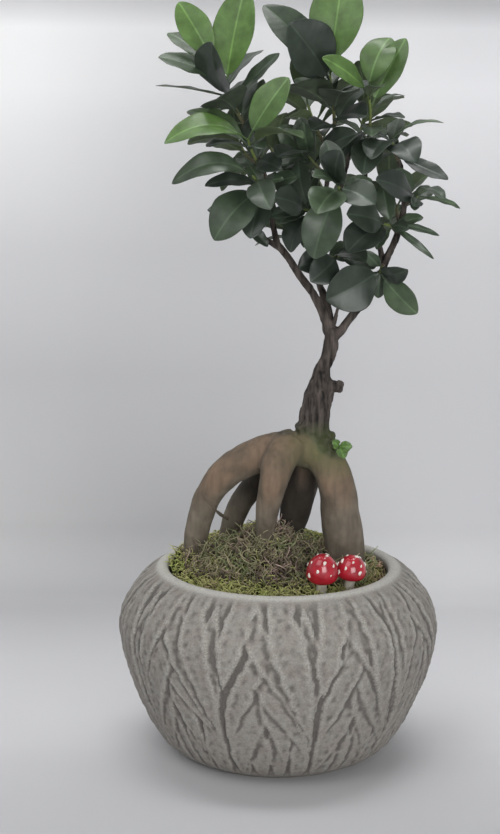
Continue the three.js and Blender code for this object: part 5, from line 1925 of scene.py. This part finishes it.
@dataclass
class Toadstool:
    """A painted toadstool pick: a domed red cap with raised white spots, on a pale stem."""

    name: str
    foot: tuple[float, float, float]
    lean: tuple[float, float]
    cap_radius: float
    cap_height: float
    stem: float
    rim: float = 2.5
    stem_radius: float = 3.6
    flare: float = 0.6
    clearance: float = 0.3
    spots: int = 15
    spot_sizes: tuple[float, float] = (0.7, 1.7)
    spot_height: float = 0.62
    spot_sunk: float = 0.25
    spot_rings: int = 5
    spot_corners: int = 10

    def turned(self, points: Array) -> Array:
        """Points in the toadstool's own frame, leant and put in place.

        Args:
            points: Places with the foot at the origin.

        Returns:
            Places in the object's frame.
        """
        about_x = Matrix.Rotation(-self.lean[0], 3, "X")
        about_y = Matrix.Rotation(self.lean[1], 3, "Y")
        return points @ np.array(about_x @ about_y).T + np.array(self.foot)

    def lathe(self, profile: list[tuple[float, float]], around: int, count: int) -> Shape:
        """A smooth profile turned about the toadstool's own line.

        Args:
            profile: Pairs of (radius, height) from the bottom up.
            around: Points in each ring.
            count: Rings.

        Returns:
            The turned shape, in place.
        """
        rows = Route([(r, 0, z) for r, z in profile]).spaced(np.linspace(0, 1, count))
        angle = circle(around)
        radius, height = rows[:, [0]], rows[:, [2]]
        rings = np.stack([radius * np.cos(angle), radius * np.sin(angle), height + 0 * angle], axis=-1)
        return skins(self.turned(rings)[None])

    def cap(self) -> Shape:
        """The cap from its underside round its rim and over an elliptic dome to its top.

        Returns:
            The turned shape, in place.
        """
        r, h, rim = self.cap_radius, self.cap_height, self.rim
        base = self.stem + self.clearance
        rises = np.radians(np.arange(10, 90, 10))
        dome = [(r * math.cos(rise), base + rim + (h - rim) * math.sin(rise)) for rise in rises]
        under = [(POLE_RADIUS, base - 0.2), (r * 0.62, base - 0.6), (r * 0.9, base + 0.2), (r, base + 2.2)]
        return self.lathe([*under, *dome, (POLE_RADIUS, base + h)], 48, 40)

    def dots(self) -> Shape:
        """Raised white spots, spread over the dome by the golden angle.

        Each is a shallow drop: a quarter of an ellipse from edge to top, with two sines in its outline.

        Returns:
            The spots as one shape.
        """
        rng = np.random.default_rng(len(self.name))
        index = np.arange(self.spots)
        rise = np.arcsin(1 - (index + 0.5) / self.spots * 0.98)
        turn = index * GOLDEN_ANGLE + rng.uniform(-0.25, 0.25, self.spots)
        normal = np.stack([np.cos(rise) * np.cos(turn), np.cos(rise) * np.sin(turn), np.sin(rise)], axis=-1)
        dome = np.array([self.cap_radius, self.cap_radius, self.cap_height - self.rim])
        centre = np.array([0, 0, self.stem + self.clearance + self.rim]) + normal * dome
        outward = unit(normal / dome)
        size = rng.uniform(*self.spot_sizes, self.spots)[:, None]
        fall = np.linspace(0.0, 1.0, self.spot_rings) * math.pi / 2
        lift = self.spot_height * size * np.sin(fall) - self.spot_sunk
        middles = centre[:, None] + outward[:, None] * lift[..., None]
        spread = size * np.maximum(np.cos(fall), 0.05)[None]
        side = unit(np.cross(outward, np.array([0.3, 0.2, 0.93])))
        other = np.cross(outward, side)
        angle = circle(self.spot_corners)
        ways = np.cos(angle)[:, None] * side[:, None, None] + np.sin(angle)[:, None] * other[:, None, None]
        uneven = 1 + 0.22 * np.sin(2 * angle + turn[:, None]) + 0.12 * np.sin(3 * angle - 2 * turn[:, None])
        rings = middles[:, :, None] + (spread[..., None] * uneven[:, None])[..., None] * ways
        return skins(self.turned(rings))

    def stalk(self) -> Shape:
        """The stem, a little wider at its foot.

        Returns:
            The turned shape, in place.
        """
        r, pole = self.stem_radius, POLE_RADIUS
        side = [(pole, 0.1), (r + self.flare, 0.1), (r + 0.3, self.stem * 0.3), (r, self.stem * 0.6)]
        return self.lathe([*side, (r - self.flare, self.stem), (pole, self.stem)], 28, 24)

    def dress(self, finishes: dict[str, bpy.types.Material]) -> None:
        """Makes the cap, its spots and the stem.

        Args:
            finishes: The materials of the red cap, the white spots and the pale stem, by these words.
        """
        name, red, spot, stem = self.name, [finishes["red"]], [finishes["spot"]], [finishes["stem"]]
        place_piece(name + "_red_cap", self.cap(), red, (name + "_cap",))
        place_piece(name + "_spots", self.dots(), spot)
        place_piece(name + "_stalk", self.stalk(), stem, (name + "_stem",))


TOADSTOOLS = (
    Toadstool("toadstool_left", (28.8, -41, 120), (-0.3, 0.02), 11.2, 18, 19),
    Toadstool("toadstool_right", (47.3, -34, 120), (-0.22, 0.1), 10.4, 15, 18),
)


# ------------------------------------------------------------------ stage, light and camera


@dataclass
class Softbox:
    """A square area light: its place in metres, its size in metres and its power in watts."""

    name: str
    place: tuple[float, float, float]
    size: float
    power: float

    def build(self, target: tuple[float, float, float]) -> None:
        """Makes the light.

        Args:
            target: The place that it looks at.
        """
        light = bpy.data.lights.new(self.name, "AREA")
        light.shape = "SQUARE"
        light.size = self.size
        light.energy = self.power
        box = bpy.data.objects.new(self.name, light)
        box.location = self.place
        box.rotation_euler = (Vector(target) - Vector(self.place)).to_track_quat("-Z", "Y").to_euler()
        bpy.context.scene.collection.objects.link(box)


@dataclass
class Studio:
    """A paper sweep painted with light and shade, soft lights, and the camera at the photograph's angle.

    The paper's painted light and shade are (metres along the sheet from below the plant, left grey, right
    grey), where the sheet lies flat at first and then turns up. light_edges are where across it the two greys
    are reached.
    """

    # Painted light and shade: each grey is how brightly the paper is lit at that place.
    painted_light_and_shade: tuple[tuple[float, str, str], ...] = (
        (-0.16, "b9b9bb", "b9b9bb"), (0.0, "ccccce", "dadadc"), (0.2, "c6c6c8", "d0d0d2"),
        (0.36, "b4b4b6", "c2c2c4"), (0.43, "cecece", "d0d0d2"), (0.56, "c6c6c8", "d0d0d2"),
        (0.67, "d8d8da", "d5d5d7"), (0.81, "ffffff", "ebebed"), (0.86, "ffffff", "e1e1e3"),
        (0.88, "dfdfe1", "bebec0"),
    )
    light_edges: tuple[float, float] = (-0.2, 0.16)
    sheet_reach: float = 3.0
    bend_start: float = 0.33
    bend_radius: float = 0.06
    boxes: tuple[Softbox, ...] = (
        Softbox("key", (-0.9, -1.0, 1.7), 1.3, 10),
        Softbox("overhead", (0.05, 0.65, 1.9), 1.5, 58),
        Softbox("fill", (0.5, -2.2, 0.5), 1.3, 30),
    )
    target: tuple[float, float, float] = (0, 0, 0.28)
    sky: str = "eceef0"
    sky_strength: float = 0.36
    frame_height_px: int = 834
    focal_px: float = 2160.0
    sensor_mm: float = 36.0
    camera_mm: tuple[float, float, float] = (-20.5, -1468.3, 547.2)
    pitch: float = math.radians(11.8)
    roll: float = math.radians(0.3)

    def sweep(self) -> None:
        """Floor that curves up by a quarter of a circle into a backdrop, as one sheet."""
        start, radius, reach = self.bend_start, self.bend_radius, self.sheet_reach
        flat = np.array([-reach, -1.0, 0.0])
        bend = np.linspace(0, math.pi / 2, 12)
        x = np.linspace(-reach, reach, 13)
        y = np.concatenate([flat, start + radius * np.sin(bend), [start + radius]])
        z = np.concatenate([0 * flat, radius * (1 - np.cos(bend)), [reach]])
        run = np.concatenate([flat, start + radius * bend, [start + radius * math.pi / 2 + reach - radius]])
        grid = np.broadcast_arrays(x[None], y[:, None], z[:, None], run[:, None])
        row, column = np.mgrid[0 : len(y) - 1, 0 : len(x) - 1]
        corner = row * len(x) + column
        quads = np.stack([corner, corner + 1, corner + len(x) + 1, corner + len(x)], axis=-1).reshape(-1, 4)
        points = np.stack(grid[:3], axis=-1).reshape(-1, 3) / MM
        mesh = to_mesh("studio_sweep", Shape(points, [(quads, 0)], {"run": grid[3].ravel()}))
        mesh.materials.append(self.paper())
        sheet = bpy.data.objects.new("studio_sweep", mesh)
        bpy.context.scene.collection.objects.link(sheet)

    def paper(self) -> bpy.types.Material:
        """Paper with painted light and shade: greys graded along and across the sheet. Its back is clear, to
        show the plant from behind.

        Returns:
            The material.
        """
        material, tree = new_material("studio_paper", Roughness=0.95, Specular_IOR_Level=0.1)
        run = add_node(tree, "Attribute", attribute_name="run").outputs["Fac"]
        low, high = self.painted_light_and_shade[0][0], self.painted_light_and_shade[-1][0]
        along = add_node(tree, "MapRange", {"Value": run}, limits=(low, high))
        left, right = (
            add_node(
                tree, "ValToRGB", {"Fac": along},
                stops=[((shade[0] - low) / (high - low), shade[side]) for shade in self.painted_light_and_shade],
            )
            for side in (1, 2)
        )
        parts = add_node(tree, "SeparateXYZ", {"Vector": add_node(tree, "TexCoord").outputs["Object"]})
        across = add_node(tree, "MapRange", {"Value": parts}, limits=self.light_edges)
        colour = add_node(tree, "Mix", {FACTOR: across, FIRST: left, SECOND: right}, data_type="RGBA")
        finished(material, Base_Color=colour.outputs[MIXED])
        seen = add_node(tree, "LightPath").outputs["Is Camera Ray"]
        back = add_node(tree, "NewGeometry").outputs["Backfacing"]
        unseen = add_node(tree, "Math", {0: seen, 1: back}, operation="MULTIPLY")
        clear = add_node(tree, "BsdfTransparent")
        sheet = add_node(tree, "MixShader", {0: unseen, 1: tree.nodes["Principled BSDF"], 2: clear})
        feed(tree, sheet, tree.nodes["Material Output"].inputs["Surface"])
        return material

    def camera(self) -> None:
        """The camera, from the photograph's own height, pitch and lens."""
        data = bpy.data.cameras.new("camera")
        data.sensor_width = self.sensor_mm
        data.lens = self.focal_px / self.frame_height_px * self.sensor_mm
        data.clip_start = 0.05
        view = bpy.data.objects.new("camera", data)
        view.matrix_world = (
            Matrix.Translation(Vector(self.camera_mm) * MM)
            @ Matrix.Rotation(math.pi / 2 - self.pitch, 4, "X")
            @ Matrix.Rotation(self.roll, 4, "Z")
        )
        bpy.context.scene.collection.objects.link(view)
        bpy.context.scene.camera = view

    def build(self) -> None:
        """Sets the stage."""
        self.sweep()
        for box in self.boxes:
            box.build(self.target)
        world = bpy.data.worlds.new("studio")
        world.use_nodes = True
        background = world.node_tree.nodes["Background"]
        background.inputs["Color"].default_value = linear(self.sky)
        background.inputs["Strength"].default_value = self.sky_strength
        scene = bpy.context.scene
        scene.world = world
        scene.view_settings.view_transform = "Standard"
        scene.view_settings.look = "None"
        self.camera()


# ------------------------------------------------------------------ everything in order


def main() -> None:
    """Loads the frame, and builds the stage and every piece around it."""
    logging.basicConfig(level=logging.INFO, format="%(message)s")
    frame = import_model()
    Studio().build()
    Bowl().dress()
    crown = Crown()
    Wood([crown.shoot(spray) for spray in (*SPRAYS, SPROUT)]).dress()
    crown.dress()
    MossBed().dress(frame["nodes"]["soil"])
    finishes = {
        "red": GlossEnamel().material(),
        "spot": MattPaint("spot_paint", "f1ece4", "ddd2c6").material(),
        "stem": MattPaint("stem_paint", "e4dfd4", "c9c2b4").material(),
    }
    for toadstool in TOADSTOOLS:
        toadstool.dress(finishes)


if __name__ == "__main__":
    main()
